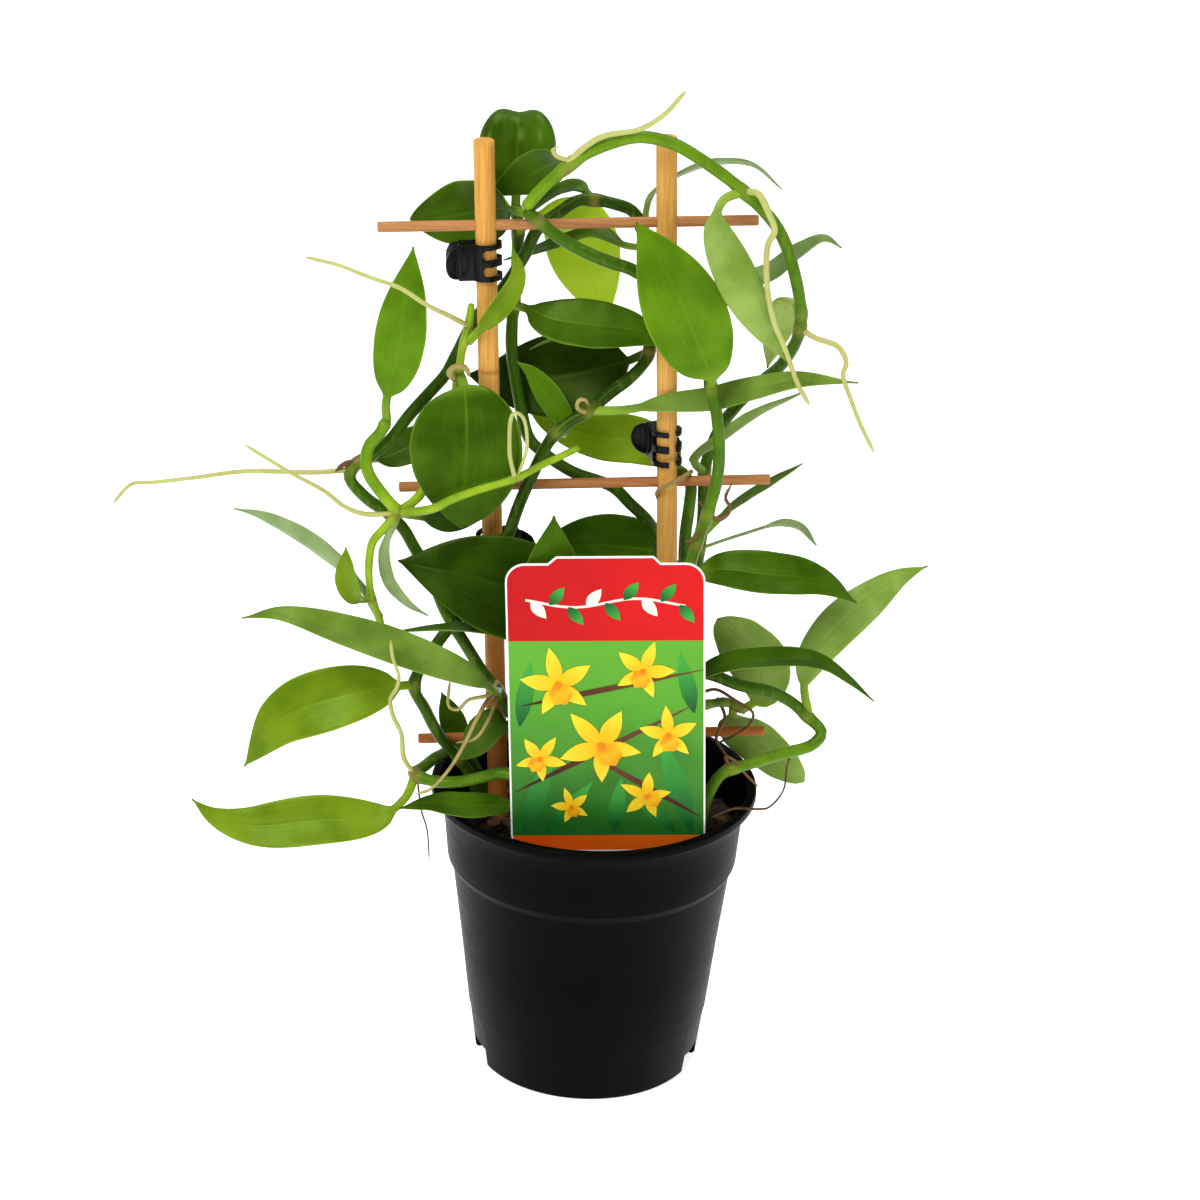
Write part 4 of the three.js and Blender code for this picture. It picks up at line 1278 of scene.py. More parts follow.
@dataclass
class Clip:
    """A spring claw clip: two pronged jaws on a pin, with ribbed finger tabs."""

    RIM_FACE: ClassVar[Point] = (0.3, -0.9, 0.2)

    name: str
    across: float
    up: float
    turn: float
    opens: int
    reach: float = 8.2
    tab: float = 5.0
    tab_start: float = 2.2
    tab_gap: float = 3.3
    tab_rise: float = 3.0
    height: float = 13.0
    oval_back: float = 1.7
    oval_margins: Pair = (1.4, 1.1)
    oval_radius: float = 0.45
    oval_steps: int = 32
    oval_lift: float = 0.1
    rib_radius: float = 0.3
    rib_sink: float = 0.05
    rib_places: tuple[float, ...] = (-0.45, 0.0, 0.45)
    rib_margin: float = 1.2
    edge: float = 0.14
    finish: PlasticFinish = PlasticFinish(
        "black_clip_plastic", paint(3, 4, 4), paint(20, 22, 20), roughness=0.3, specular=0.16,
    )

    def place(self, trellis: Trellis) -> Matrix:
        """Give the turn and place of the clip on its cane.

        Args:
            trellis: The trellis.

        Returns:
            The matrix, in metres.
        """
        low = Vector(trellis.point(self.across, self.up))
        high = Vector(trellis.point(self.across, self.up + 1))
        tilt = Vector((0, 0, 1)).rotation_difference(high - low).to_matrix().to_4x4()
        spin = Matrix.Rotation(math.radians(trellis.yaw - self.turn), 4, "Z")
        return Matrix.Translation(low * MM) @ tilt @ spin

    def _out(self, x: float) -> float:
        """Give how far a finger tab's outside lies from the clip's middle plane."""
        rise = max(0.0, -self.reach - self.tab_start - x) * self.tab_rise
        return self.tab_gap + rise / (self.tab - self.tab_start)

    def _grip(self, skin: Skin, hand: int, place: Matrix) -> None:
        """Set a raised oval rim and some ribs on a finger tab.

        Args:
            skin: The jaw's skin.
            hand: The jaw's side, 1 or -1.
            place: The clip's turn and place.
        """
        middle = -self.reach - self.oval_back
        across, up = self.tab - self.oval_margins[0], self.height / 2 - self.oval_margins[1]
        oval = []
        for k in range(self.oval_steps + 1):
            angle = math.tau * k / self.oval_steps
            x = middle + across * math.cos(angle)
            spot = Vector((x, hand * (self._out(x) + self.oval_lift), up * math.sin(angle)))
            oval.append(tuple(place @ (spot * MM) / MM))
        frames = Run(oval).frames(self.oval_steps * 2, self.RIM_FACE)
        skin.tube([round_ring(frame, self.oval_radius, 8) for frame in frames], {})
        for x in self.rib_places:
            spot = Vector((middle + across * x, 0, 0))
            spot.y = hand * (self._out(spot.x) - self.rib_sink)
            half = up * math.sqrt(1 - x * x) - self.rib_margin
            ends = [spot + Vector((0, 0, side * half)) for side in (-1, 1)]
            frames = Run([tuple(place @ (end * MM) / MM) for end in ends]).frames(6, self.RIM_FACE)
            skin.tube([round_ring(frame, self.rib_radius, 8) for frame in frames], {})

    def build(self, trellis: Trellis, frame: dict) -> list[bpy.types.Object]:
        """Soften both jaws of the frame and add their ribs.

        Args:
            trellis: The trellis.
            frame: The loaded frame.

        Returns:
            The jaws.
        """
        made = []
        place = self.place(trellis)
        jaws = (("fixed", -self.opens, HOLDER), ("moving", self.opens, f"{self.name}_jaw"))
        for part, hand, body in jaws:
            node = f"{self.name}_jaw_{part}"
            skin = Skin()
            skin.mesh.from_mesh(frame["nodes"][node].data)
            bmesh.ops.remove_doubles(skin.mesh, verts=skin.mesh.verts[:], dist=Skin.SAME)
            bmesh.ops.dissolve_limit(
                skin.mesh, angle_limit=math.radians(2), verts=skin.mesh.verts[:], edges=skin.mesh.edges[:],
            )
            skin.soften(self.edge, angle=32.0)
            self._grip(skin, hand, place)
            finishes = [self.finish.material()]
            made.append(skin.piece(f"{self.name}_{part}", finishes, "clip", node, body=body))
        return made


# Plant label


class Ink(IntEnum):
    """The label's inks, in the order of its print finishes."""

    MEADOW = 0
    HEADER = 1
    PETAL = 2
    LIP = 3
    TWIG = 4
    BLADE = 5
    FOOTER = 6
    CREAM = 7


@dataclass(frozen=True)
class Blossom:
    """One printed flower: narrow pointed petals round a frilled lip."""

    x: float
    z: float
    size: float
    turn: float


@dataclass
class Label:
    """The printed plant label: a rounded white card with a spray of yellow flowers."""

    ARC_STEPS: ClassVar[int] = 8
    LIP_STEPS: ClassVar[int] = 24
    WIDTHS: ClassVar[tuple[float, ...]] = (0.12, 0.5, 0.8, 0.96, 1.0, 0.94, 0.8, 0.58, 0.3, 0.0)

    width: float = 70.0
    low: float = 101.0
    high: float = 213.5
    thickness: float = 0.8
    middle: float = 6.0
    front: float = -35.0
    lean: float = -2.4
    ink: float = 0.02
    layer: float = 0.045
    edge: float = 0.22
    corner: float = 7.0
    tab: float = 2.6
    margin: float = 0.65
    foot: float = 6.5
    head: float = 83.0
    strand: Pair = (98.0, 97.1)
    strand_middle: float = 97.5
    sway: float = 1.6
    sway_length: float = 7.0
    lip: float = 0.3
    throat: float = 0.1
    card: PlasticFinish = PlasticFinish("label_card", paint(238, 240, 238), paint(214, 216, 212), 0.4, 0.4)
    prints: tuple[PrintFinish, ...] = (
        PrintFinish("print_meadow", paint(22, 92, 30), paint(92, 164, 44), 24.0),
        PrintFinish("print_header", paint(176, 3, 8), paint(206, 12, 14), 20.0),
        PrintFinish("print_petal", paint(232, 176, 6), paint(240, 214, 48), 8.0),
        PrintFinish("print_lip", paint(222, 120, 6), paint(236, 180, 14), 6.0),
        PrintFinish("print_twig", paint(58, 28, 18), paint(104, 58, 34), 5.0),
        PrintFinish("print_blade", paint(12, 84, 34), paint(62, 158, 56), 12.0),
        PrintFinish("print_footer", paint(206, 74, 10), paint(222, 100, 20), 18.0),
        PrintFinish("print_cream", paint(236, 234, 222), paint(226, 222, 204), 9.0),
    )
    blossoms: tuple[Blossom, ...] = (
        Blossom(-17, 66, 15, 12), Blossom(13, 71, 12.5, -20), Blossom(-2, 42, 17, 40),
        Blossom(22, 46, 12, 5), Blossom(-24, 37, 10.5, -34), Blossom(14, 22, 10.5, 62),
        Blossom(-13, 18, 8, 18),
    )
    petals: tuple[Point, ...] = (
        (0, 1.0, 0.36), (68, 0.92, 0.4), (-68, 0.92, 0.4), (140, 0.84, 0.34), (-140, 0.84, 0.34),
    )
    blades: tuple[tuple[float, ...], ...] = (
        (-30, 8, 34, 7, -18), (-22, 8, 26, 6, -40), (30, 8, 40, 8, 16), (24, 8, 26, 6, 42),
        (2, 8, 22, 6, -8), (-31, 50, 26, 6, -10), (31, 55, 24, 6, 12),
    )
    twigs: tuple[tuple[float, ...], ...] = (
        (-33, 24, 74, 2.2, -62), (-30, 58, 66, 2.2, -78), (33, 14, 54, 2.2, 58),
    )
    stake: tuple[Pair, ...] = (
        (-11, 0.0), (-7, -6.0), (-7, -45.0), (0, -55.0), (7, -45.0), (7, -6.0), (11, 0.0),
    )

    def _arc(self, x: float, z: float, radius: float, start: float, end: float) -> Outline:
        """Give the points of an arc.

        Args:
            x: Its middle across.
            z: Its middle up.
            radius: Its radius.
            start: Its first angle in degrees.
            end: Its last angle.

        Returns:
            The points.
        """
        steps = self.ARC_STEPS
        angles = [math.radians(start + (end - start) * k / steps) for k in range(steps + 1)]
        return [(x + radius * math.cos(a), z + radius * math.sin(a)) for a in angles]

    def _outline(self, inset: float) -> Outline:
        """Give the card's face outline, without its stake.

        Args:
            inset: How far inside the card's edge.

        Returns:
            The points.
        """
        half, top = self.width / 2 - inset, self.high - self.low - inset
        corner = self.corner - inset
        points = self._arc(half - corner, corner + inset, corner, -90, 0)
        points += self._arc(half - corner, top - corner, corner, 0, 90)
        pull, tab = inset * 0.4, top + self.tab
        points += [(19.5 - pull, top), (17 - pull, tab), (pull - 17, tab), (pull - 20, top)]
        points += self._arc(corner - half, top - corner, corner, 90, 180)
        points += self._arc(corner - half, corner + inset, corner, 180, 270)
        return points

    def _cut(self, points: Sequence[Pair], low: float, high: float) -> Outline:
        """Keep the part of an outline between two heights.

        Args:
            points: The outline.
            low: The lower height.
            high: The upper height.

        Returns:
            The part's outline.
        """
        kept = list(points)
        for level, sign in ((low, 1), (high, -1)):
            result = []
            for (x1, z1), (x2, z2) in zip(kept, kept[1:] + kept[:1]):
                inside, other = sign * (z1 - level) >= 0, sign * (z2 - level) >= 0
                if inside:
                    result.append((x1, z1))
                if inside != other:
                    share = (level - z1) / (z2 - z1)
                    result.append((x1 + (x2 - x1) * share, level))
            kept = result
        return kept

    def _face(self, layer: int) -> Pair:
        """Give the back and the front of a printed layer."""
        return -self.thickness + self.ink, -self.thickness - self.ink - self.layer * layer

    def _wave(self, x: float, level: float) -> float:
        """Give the height of the garland at a place across."""
        return level + self.sway * math.sin(x / self.sway_length)

    def _leafy(
        self, sheet: Skin, layer: int, ink: Ink, shape: Sequence[float], fade: float = 1.0,
    ) -> None:
        """Print a pointed petal, leaf or twig.

        Args:
            sheet: The print's skin.
            layer: Its layer.
            ink: Its ink.
            shape: Its foot across and up, its length, its width and its turn in degrees from upright.
            fade: How far its ink shades towards its tip.
        """
        x, z, length, width, turn = shape
        cos, sin = math.cos(math.radians(turn)), math.sin(math.radians(turn))
        last = len(self.WIDTHS) - 1
        right = [(width / 2 * wide, k / last) for k, wide in enumerate(self.WIDTHS)]
        both = right + [(-a, t) for a, t in reversed(right[:-1])]
        points = [(x + a * cos - length * t * sin, z + a * sin + length * t * cos) for a, t in both]
        sheet.slab(points, *self._face(layer), [fade * t for _, t in both], ink)

    def _flower(self, sheet: Skin, blossom: Blossom) -> None:
        """Print one flower.

        Args:
            sheet: The print's skin.
            blossom: The flower.
        """
        size = blossom.size
        for k, (turn, long, wide) in enumerate(self.petals):
            shape = blossom.x, blossom.z, size * long, size * wide, blossom.turn + turn
            self._leafy(sheet, 4 + k, Ink.PETAL, shape, 0.9)
        ring = []
        reach = size * self.lip
        down = math.radians(blossom.turn - 90)
        x, z = blossom.x + reach * math.cos(down) * 0.8, blossom.z + reach * math.sin(down) * 0.8
        for k in range(self.LIP_STEPS):
            angle = math.tau * k / self.LIP_STEPS
            frill = reach * (0.9 + 0.1 * math.cos(6 * angle))
            ring.append((x + frill * math.cos(angle), z + frill * math.sin(angle)))
        half = self.LIP_STEPS // 2
        shades = [0.9 - 0.8 * (k % half) / half for k in range(self.LIP_STEPS)]
        sheet.slab(ring, *self._face(9), shades, Ink.LIP)
        centre = self._arc(blossom.x, blossom.z, size * self.throat, 0, 320)
        sheet.slab(centre, *self._face(10), [0.1] * len(centre), Ink.LIP)

    def _ground(self, sheet: Skin) -> None:
        """Print the meadow, the header and the footer.

        Args:
            sheet: The print's skin.
        """
        inner = self._outline(self.margin)
        meadow = self._cut(inner, self.foot, self.head)
        sheet.slab(meadow, *self._face(0), [z / 90 for _, z in meadow], Ink.MEADOW)
        for low, high, ink in ((self.head, self.high, Ink.HEADER), (0.0, self.foot, Ink.FOOTER)):
            bar = self._cut(inner, low, high)
            sheet.slab(bar, *self._face(0), [0.5 + x / 90 for x, _ in bar], ink)

    def _garland(self, sheet: Skin) -> None:
        """Print the strand with its small leaves.

        Args:
            sheet: The print's skin.
        """
        upper, under = self.strand
        strand = [(x, self._wave(x, upper)) for x in range(-28, 29, 2)]
        strand += [(x, self._wave(x, under)) for x in range(28, -29, -2)]
        sheet.slab(strand, *self._face(2), [0.5] * len(strand), Ink.CREAM)
        for k in range(9):
            x = -26 + 6.5 * k
            shape = x, self._wave(x, self.strand_middle), 8.5, 4.2, -38 if k % 2 else -142
            self._leafy(sheet, 3, Ink.BLADE if k % 3 else Ink.CREAM, shape)

    def build(self) -> list[bpy.types.Object]:
        """Make the card and its print.

        Returns:
            The card and the print.
        """
        place = Matrix.Translation((self.middle * MM, self.front * MM, self.low * MM))
        place @= Matrix.Rotation(math.radians(self.lean), 4, "Y")
        card = Skin()
        card.slab(self._outline(0.0) + list(self.stake), 0.0, -self.thickness)
        card.soften(self.edge, 40.0, 2)
        sheet = Skin()
        self._ground(sheet)
        for shape in self.blades:
            self._leafy(sheet, 1, Ink.BLADE, shape)
        for k, shape in enumerate(self.twigs):
            self._leafy(sheet, 2 + k % 2, Ink.TWIG, shape)
        for blossom in self.blossoms:
            self._flower(sheet, blossom)
        self._garland(sheet)
        for skin in (card, sheet):
            bmesh.ops.transform(skin.mesh, matrix=place, verts=skin.mesh.verts[:])
        finishes = [finish.material() for finish in self.prints]
        return [
            card.piece("label_card", [self.card.material()], "label", "plant_label"),
            sheet.piece("label_print", finishes, "label"),
        ]


# Plant


@dataclass(frozen=True)
class Leaf:
    """One fleshy leaf: its width, the way its blade faces, its fold and its midrib's path."""

    WIDEST: ClassVar[float] = 0.42
    STALK: ClassVar[float] = 2.2
    STALK_REACH: ClassVar[float] = 1.3
    LEAST_REACH: ClassVar[float] = 0.35
    BLADE: ClassVar[float] = 1.2
    TIP_START: ClassVar[float] = 0.88
    RIPPLE: ClassVar[float] = 0.05
    STEP: ClassVar[float] = 1.6

    name: str
    width: float
    face: Point
    cup: float
    tone: Tone
    path: list[Point]
    petiole: float = 0.14
    stalk: float = 1.0
    twist: float = 0.0
    roll: float = 0.0
    tip: float = 1.15
    young: bool = False
    ring: int = 24

    def _share(self, t: float) -> float:
        """Give half the blade's width as a share of the greatest.

        Args:
            t: The place along the leaf.

        Returns:
            The share.
        """
        s, widest = (t - self.petiole) / (1 - self.petiole), self.WIDEST
        if s <= 0:
            return 0.0
        if s < widest:
            return math.sqrt(1 - (1 - s / widest) ** 2)
        return (1 - ((s - widest) / (1 - widest)) ** 2) ** self.tip

    def _thickness(self, t: float, share: float) -> float:
        """Give the leaf's thickness: a round stalk, then a thin blade that ends in a thinner tip.

        Args:
            t: The place along the leaf.
            share: Half the blade's width there as a share of the greatest.

        Returns:
            The thickness in millimetres.
        """
        stalk = self.STALK * self.stalk
        thick = stalk + (self.BLADE - stalk) * min(1.0, share * 2)
        if t <= 0.6:
            return thick
        return min(thick, self.BLADE * (1 - max(0.0, t - self.TIP_START) * 5))

    def grow(self, skin: Skin, trim: float, material: int = 0) -> None:
        """Add the leaf to a mesh.

        Args:
            skin: The mesh.
            trim: The share of the path that lies inside the vine.
            material: The index of its material.
        """
        run = Run(self.path)
        steps = max(30, min(64, round(run.length / MM / self.STEP)))
        rings, places = [], []
        seed = sum(map(ord, self.name)) % 97
        for frame in run.frames(steps, self.face):
            t = max(0.0, (frame.share - trim) / (1 - trim))
            frame = frame.spun(math.radians(self.twist) * max(0.0, 2 * t - 1))
            share = self._share(t)
            stalk = self.STALK_REACH * self.stalk * (1 - t) + self.LEAST_REACH
            half = max(stalk, self.width / 2 * share)
            thick = self._thickness(t, share)
            ring = []
            for k in range(self.ring):
                angle = math.tau * k / self.ring
                s, up = math.cos(angle), math.sin(angle)
                wave = noise.noise(Vector((t * 7 + seed, 3.0 if s > 0 else 9.0, 0.0)))
                lift = self.cup * half * share * (abs(s) ** 1.5 - self.roll * s ** 4)
                lift += self.RIPPLE * self.width * wave * abs(s) ** 2 * share
                lift += (abs(up) ** 0.7 * math.copysign(1.0, up)) * thick / 2
                edge = frame.side * s * half
                ring.append(frame.point + (edge + frame.normal * lift) * MM)
            rings.append(ring)
            places.append(t)
        angles = [math.tau * k / self.ring for k in range(self.ring)]
        skin.tube(rings, {
            "along": lambda i, k: places[i],
            "across": lambda i, k: math.cos(angles[k]),
            "skin": lambda i, k: math.sin(angles[k]),
        }, material)


@dataclass(frozen=True)
class Side:
    """A side shoot: the vine it grows on, its radius and its path."""

    vine: str
    radius: float
    path: list[Point]


@dataclass(frozen=True)
class Root:
    """An aerial root: the vine it grows on, its radius, its path and how old it looks."""

    vine: str
    radius: float
    path: list[Point]
    age: float = 0.12


@dataclass
class Vine:
    """One vine with its side shoots and roots, swollen and scarred where leaves grow."""

    STEP: ClassVar[float] = 1.7
    ROOT_STEP: ClassVar[float] = 1.5
    KNOT_REACH: ClassVar[float] = 5.0
    ROOM: ClassVar[float] = 0.5
    END: ClassVar[float] = 2.0
    TAPER: ClassVar[float] = 0.75
    FACE: ClassVar[Point] = (0.1, -0.9, 0.3)
    ROOT_FACE: ClassVar[Point] = (0.2, -0.9, 0.3)

    name: str
    path: list[Point]
    ages: Sequence[Pair]
    slot: str = "stem"
    radius: float = 2.25
    corners: int = 14
    sides: list[Side] = field(default_factory=list)
    roots: list[Root] = field(default_factory=list)
    leaves: list[Leaf] = field(default_factory=list)
    starts: list[Point] = field(default_factory=list)

    @property
    def node(self) -> str:
        """The name of the frame's node."""
        return "vine_" + "".join(f"_{c.lower()}" if c.isupper() else c for c in self.name)

    def runs(self) -> list[tuple[Run, float, float]]:
        """Give every stem with its radius at the start and at the end."""
        main = [(Run(self.path), self.radius, self.radius)]
        return main + [(Run(side.path), side.radius, side.radius * self.TAPER) for side in self.sides]

    def gap(self, point: Point) -> float:
        """Give the least distance from a point to the stems."""
        return min(run.nearest(Vector(point) * MM)[1] for run, _, _ in self.runs())

    def trim(self, leaf: Leaf) -> float:
        """Find the share of a leaf's path that lies inside the stems.

        Args:
            leaf: The leaf.

        Returns:
            The share.
        """
        run = Run(leaf.path)
        stems = [stem for stem, _, _ in self.runs()]
        for k in range(60):
            share = k / 120
            gap = min(stem.nearest(run.at(share))[1] for stem in stems)
            if gap > (self.radius + self.ROOM) * MM:
                return share
        return 0.0

    def _swell(self, near: float) -> float:
        """Give a stem's swelling by the distance to the nearest knot, in millimetres."""
        return 0.97 + 0.17 * math.exp(-(near / 2.6) ** 2) - 0.05 * math.exp(-((near - 5) / 3) ** 2)

    def _stem(
        self, skin: Skin, run: Run, first: float, last: float, ages: Sequence[Pair],
    ) -> None:
        """Add one stem.

        Args:
            skin: The mesh.
            run: Its line.
            first: Its radius at the start.
            last: Its radius at the end.
            ages: How old it looks along its length.
        """
        length = run.length / MM
        knots = []
        for point in self.starts:
            share, gap = run.nearest(Vector(point) * MM)
            if gap < self.KNOT_REACH * MM:
                knots.append(share * length)
        steps = max(8, round(length / self.STEP))
        rings, marks, shades = [], [], []
        for frame in run.frames(steps, self.FACE):
            place = frame.share * length
            near = min([abs(place - knot) for knot in knots] or [FAR])
            radius = (first + (last - first) * frame.share) * self._swell(near)
            end = min(place, length - place, self.END) / self.END
            radius *= 0.72 + 0.28 * math.sqrt(max(0.0, 1 - (1 - end) ** 2))
            radius *= 1 + 0.03 * noise.noise(Vector((place / 14, first * 7, 2.0)))
            rings.append(round_ring(frame, radius, self.corners))
            marks.append(math.exp(-((near - 0.6) / 1.5) ** 2))
            shades.append(between(ages, frame.share))
        skin.tube(rings, {"knot": lambda i, k: marks[i], "age": lambda i, k: shades[i]})

    def _root(self, skin: Skin, root: Root) -> None:
        """Add one aerial root.

        Args:
            skin: The mesh.
            root: The root.
        """
        run = Run(root.path)
        length = run.length / MM
        steps = max(10, round(length / self.ROOT_STEP))
        rings, shades = [], []
        for frame in run.frames(steps, self.ROOT_FACE):
            place = frame.share * length
            radius = root.radius * 0.95 * (1 - 0.35 * frame.share)
            radius *= min(1.0, 0.25 + (length - place) / 3)
            radius *= 1 + 0.1 * noise.noise(Vector((place / 5, length, 1.0)))
            rings.append(round_ring(frame, radius, 8))
            shades.append(root.age + 0.12 * noise.noise(Vector((place / 22, length, 6.0))))
        skin.tube(rings, {"age": lambda i, k: shades[i]}, 1)

    def build(self, finishes: Sequence[bpy.types.Material]) -> bpy.types.Object:
        """Make the vine.

        Args:
            finishes: The stem's and the root's materials.

        Returns:
            The vine.
        """
        skin = Skin()
        for k, (run, first, last) in enumerate(self.runs()):
            ages = self.ages if k == 0 else [(0.0, self.ages[-1][1])]
            self._stem(skin, run, first, last, ages)
        for root in self.roots:
            self._root(skin, root)
        materials = list(finishes)
        for leaf in self.leaves:
            materials.append(leaf.tone.value.material())
            leaf.grow(skin, 0.0, len(materials) - 1)
        return skin.piece(f"{self.node}_grown", materials, self.slot, self.node)


# The vines: their lines in millimetres, across, back and up, and how old they look along them

STEMS = {
    "arch": [(-30, -9, 333), (-23, -11, 342), (-11, -13, 353), (-1, -13, 358), (8, -12, 360),
        (19, -11, 358), (31, -13, 352), (44, -15, 343), (56, -16, 331), (63, -15, 314), (66, -12, 294),
        (61, -6, 279), (54, 1, 269), (46, 6, 258), (40, 9, 247), (36, 9, 233), (36, 9, 215),
        (35, 9, 194), (37, 8, 150), (38, 6, 82)],
    "right": [(-30, -8.5, 332), (-25, -9, 328), (-18, -10, 323), (-8, -11, 318), (0, -11, 315),
        (8, -10, 312), (21, -9, 302), (32, -10, 288), (36, -13, 272), (39, -14, 259), (40, -13, 241),
        (37, -11, 223), (33, -9, 209), (31, -9, 196), (30, -7, 165), (26, -6, 120), (23, -7, 82)],
    "left": [(-40, 2, 82), (-44, 0, 108), (-50, -4, 121), (-57, -10, 133), (-62, -12, 144),
        (-66, -13, 154), (-58, -9, 169), (-50, -6, 179), (-43, -9, 188), (-35, -11, 207),
        (-30, -9, 223), (-25, -9, 236), (-19, -9, 249), (-13, -8, 255), (-6, -6, 259), (2, -2, 265),
        (8, 1, 269), (14, 5, 276), (14, 9, 288), (12, 10, 306), (11, 10, 319), (7, 10, 327),
        (0, 9, 330), (-6, 9, 331), (-12, 8, 331), (-18, 8, 327), (-26, 8, 320), (-30, 8, 311),
        (-37, 8, 299), (-47, 7, 287), (-53, 5, 275), (-57, 4, 267), (-62, 3, 261), (-70, 0, 252),
        (-76, -2, 244), (-83, -3, 238), (-89, -4, 234), (-90, -5, 230), (-84, -6, 223), (-77, -6, 218),
        (-71, -6, 212), (-67, -8, 206), (-60, -10, 194), (-55, -11, 182), (-48, -11, 170),
        (-42, -11, 160), (-34, -10, 148), (-24, -7, 125), (-19, -3, 82)],
    "inner": [(-34, 16, 326), (-33, 15.5, 319), (-33, 15, 311), (-33, 14, 300), (-34, 10, 288),
        (-34, 7, 276), (-31, 6, 258), (-27, 6, 243), (-22, 6, 238), (-15, 6, 233), (-10, 7, 230),
        (3, 8, 225), (10, 9, 218), (16, 12, 211), (20, 15, 203), (21, 17, 190), (12, 22, 82)],
    "clipped": [(25, 9, 232), (28, 8.5, 231), (31, 7.5, 227), (31, 7, 221), (30, 9, 207),
        (30, 13, 190), (27, 19, 82)],
    "lowLeft": [(-15, -31, 82), (-19, -31, 112), (-25, -31, 126), (-33, -30, 128), (-41, -28, 125),
        (-49, -26, 122), (-58, -24, 121), (-65, -21, 122), (-62, -12, 121), (-58, -2, 120),
        (-51, 8, 118), (-44, 15, 107), (-40, 18, 82)],
    "lowRight": [(4, -20, 82), (8, -18, 130), (18, -15, 158), (37, -12, 162), (52, -11, 157),
        (63, -9, 154), (71, -7, 149), (77, -8, 144), (82, -10, 139), (79, -12, 135), (67, -15, 132),
        (57, -17, 129), (46, -19, 125), (40, -22, 112), (37, -22, 82)],
    "shoot": [(-77, -7, 253), (-79, -8, 249), (-83, -9, 244), (-84, -10, 239), (-83, -12, 235),
        (-79, -13, 229), (-72, -14, 221)],
}

AGES = {
    "arch": ((0.0, 0.3), (0.25, 0.42), (0.45, 0.72), (1.0, 0.85)),
    "right": ((0.0, 0.7), (0.35, 0.65), (0.5, 0.45), (0.8, 0.4), (1.0, 0.6)),
    "left": ((0.0, 0.7), (0.2, 0.9), (0.55, 0.95), (0.7, 0.65), (0.85, 0.9), (1.0, 0.9)),
    "inner": ((0.0, 0.6), (0.5, 0.85), (1.0, 0.85)),
    "clipped": ((0.0, 0.6), (1.0, 0.75)),
    "lowLeft": ((0.0, 0.7), (0.5, 0.45), (1.0, 0.75)),
    "lowRight": ((0.0, 0.9), (0.42, 0.9), (0.55, 0.65), (0.72, 0.4), (1.0, 0.6)),
    "shoot": ((0.0, 0.36), (1.0, 0.15)),
}

SHOOTS = ("arch", "shoot")

# Side shoots and aerial roots, each from the vine that it grows on

SIDES = [
    Side("shoot", 1.7, [(-72, -14, 221), (-60, -19, 225), (-53, -22, 230), (-43, -24, 235),
        (-31, -23, 239), (-21, -18, 243), (-15, -15, 245), (-9, -14, 248)]),
    Side("shoot", 1.7, [(-72, -14, 221), (-78, -17, 215), (-81, -18, 211), (-82, -19, 205),
        (-82, -20, 198), (-81, -20, 191), (-79, -20, 185), (-77, -19, 178)]),
    Side("shoot", 1.9, [(-72, -14, 221), (-65, -9, 226), (-58, -5, 240), (-54, -4, 257),
        (-52, -4, 271), (-51, -4, 279), (-49, -4, 288), (-48, -4, 296)]),
    Side("lowRight", 2.1, [(9, -18, 140), (22, -15, 145), (31, -13, 147), (41, -6, 147), (48, 0, 145),
        (54, 2, 141)]),
]

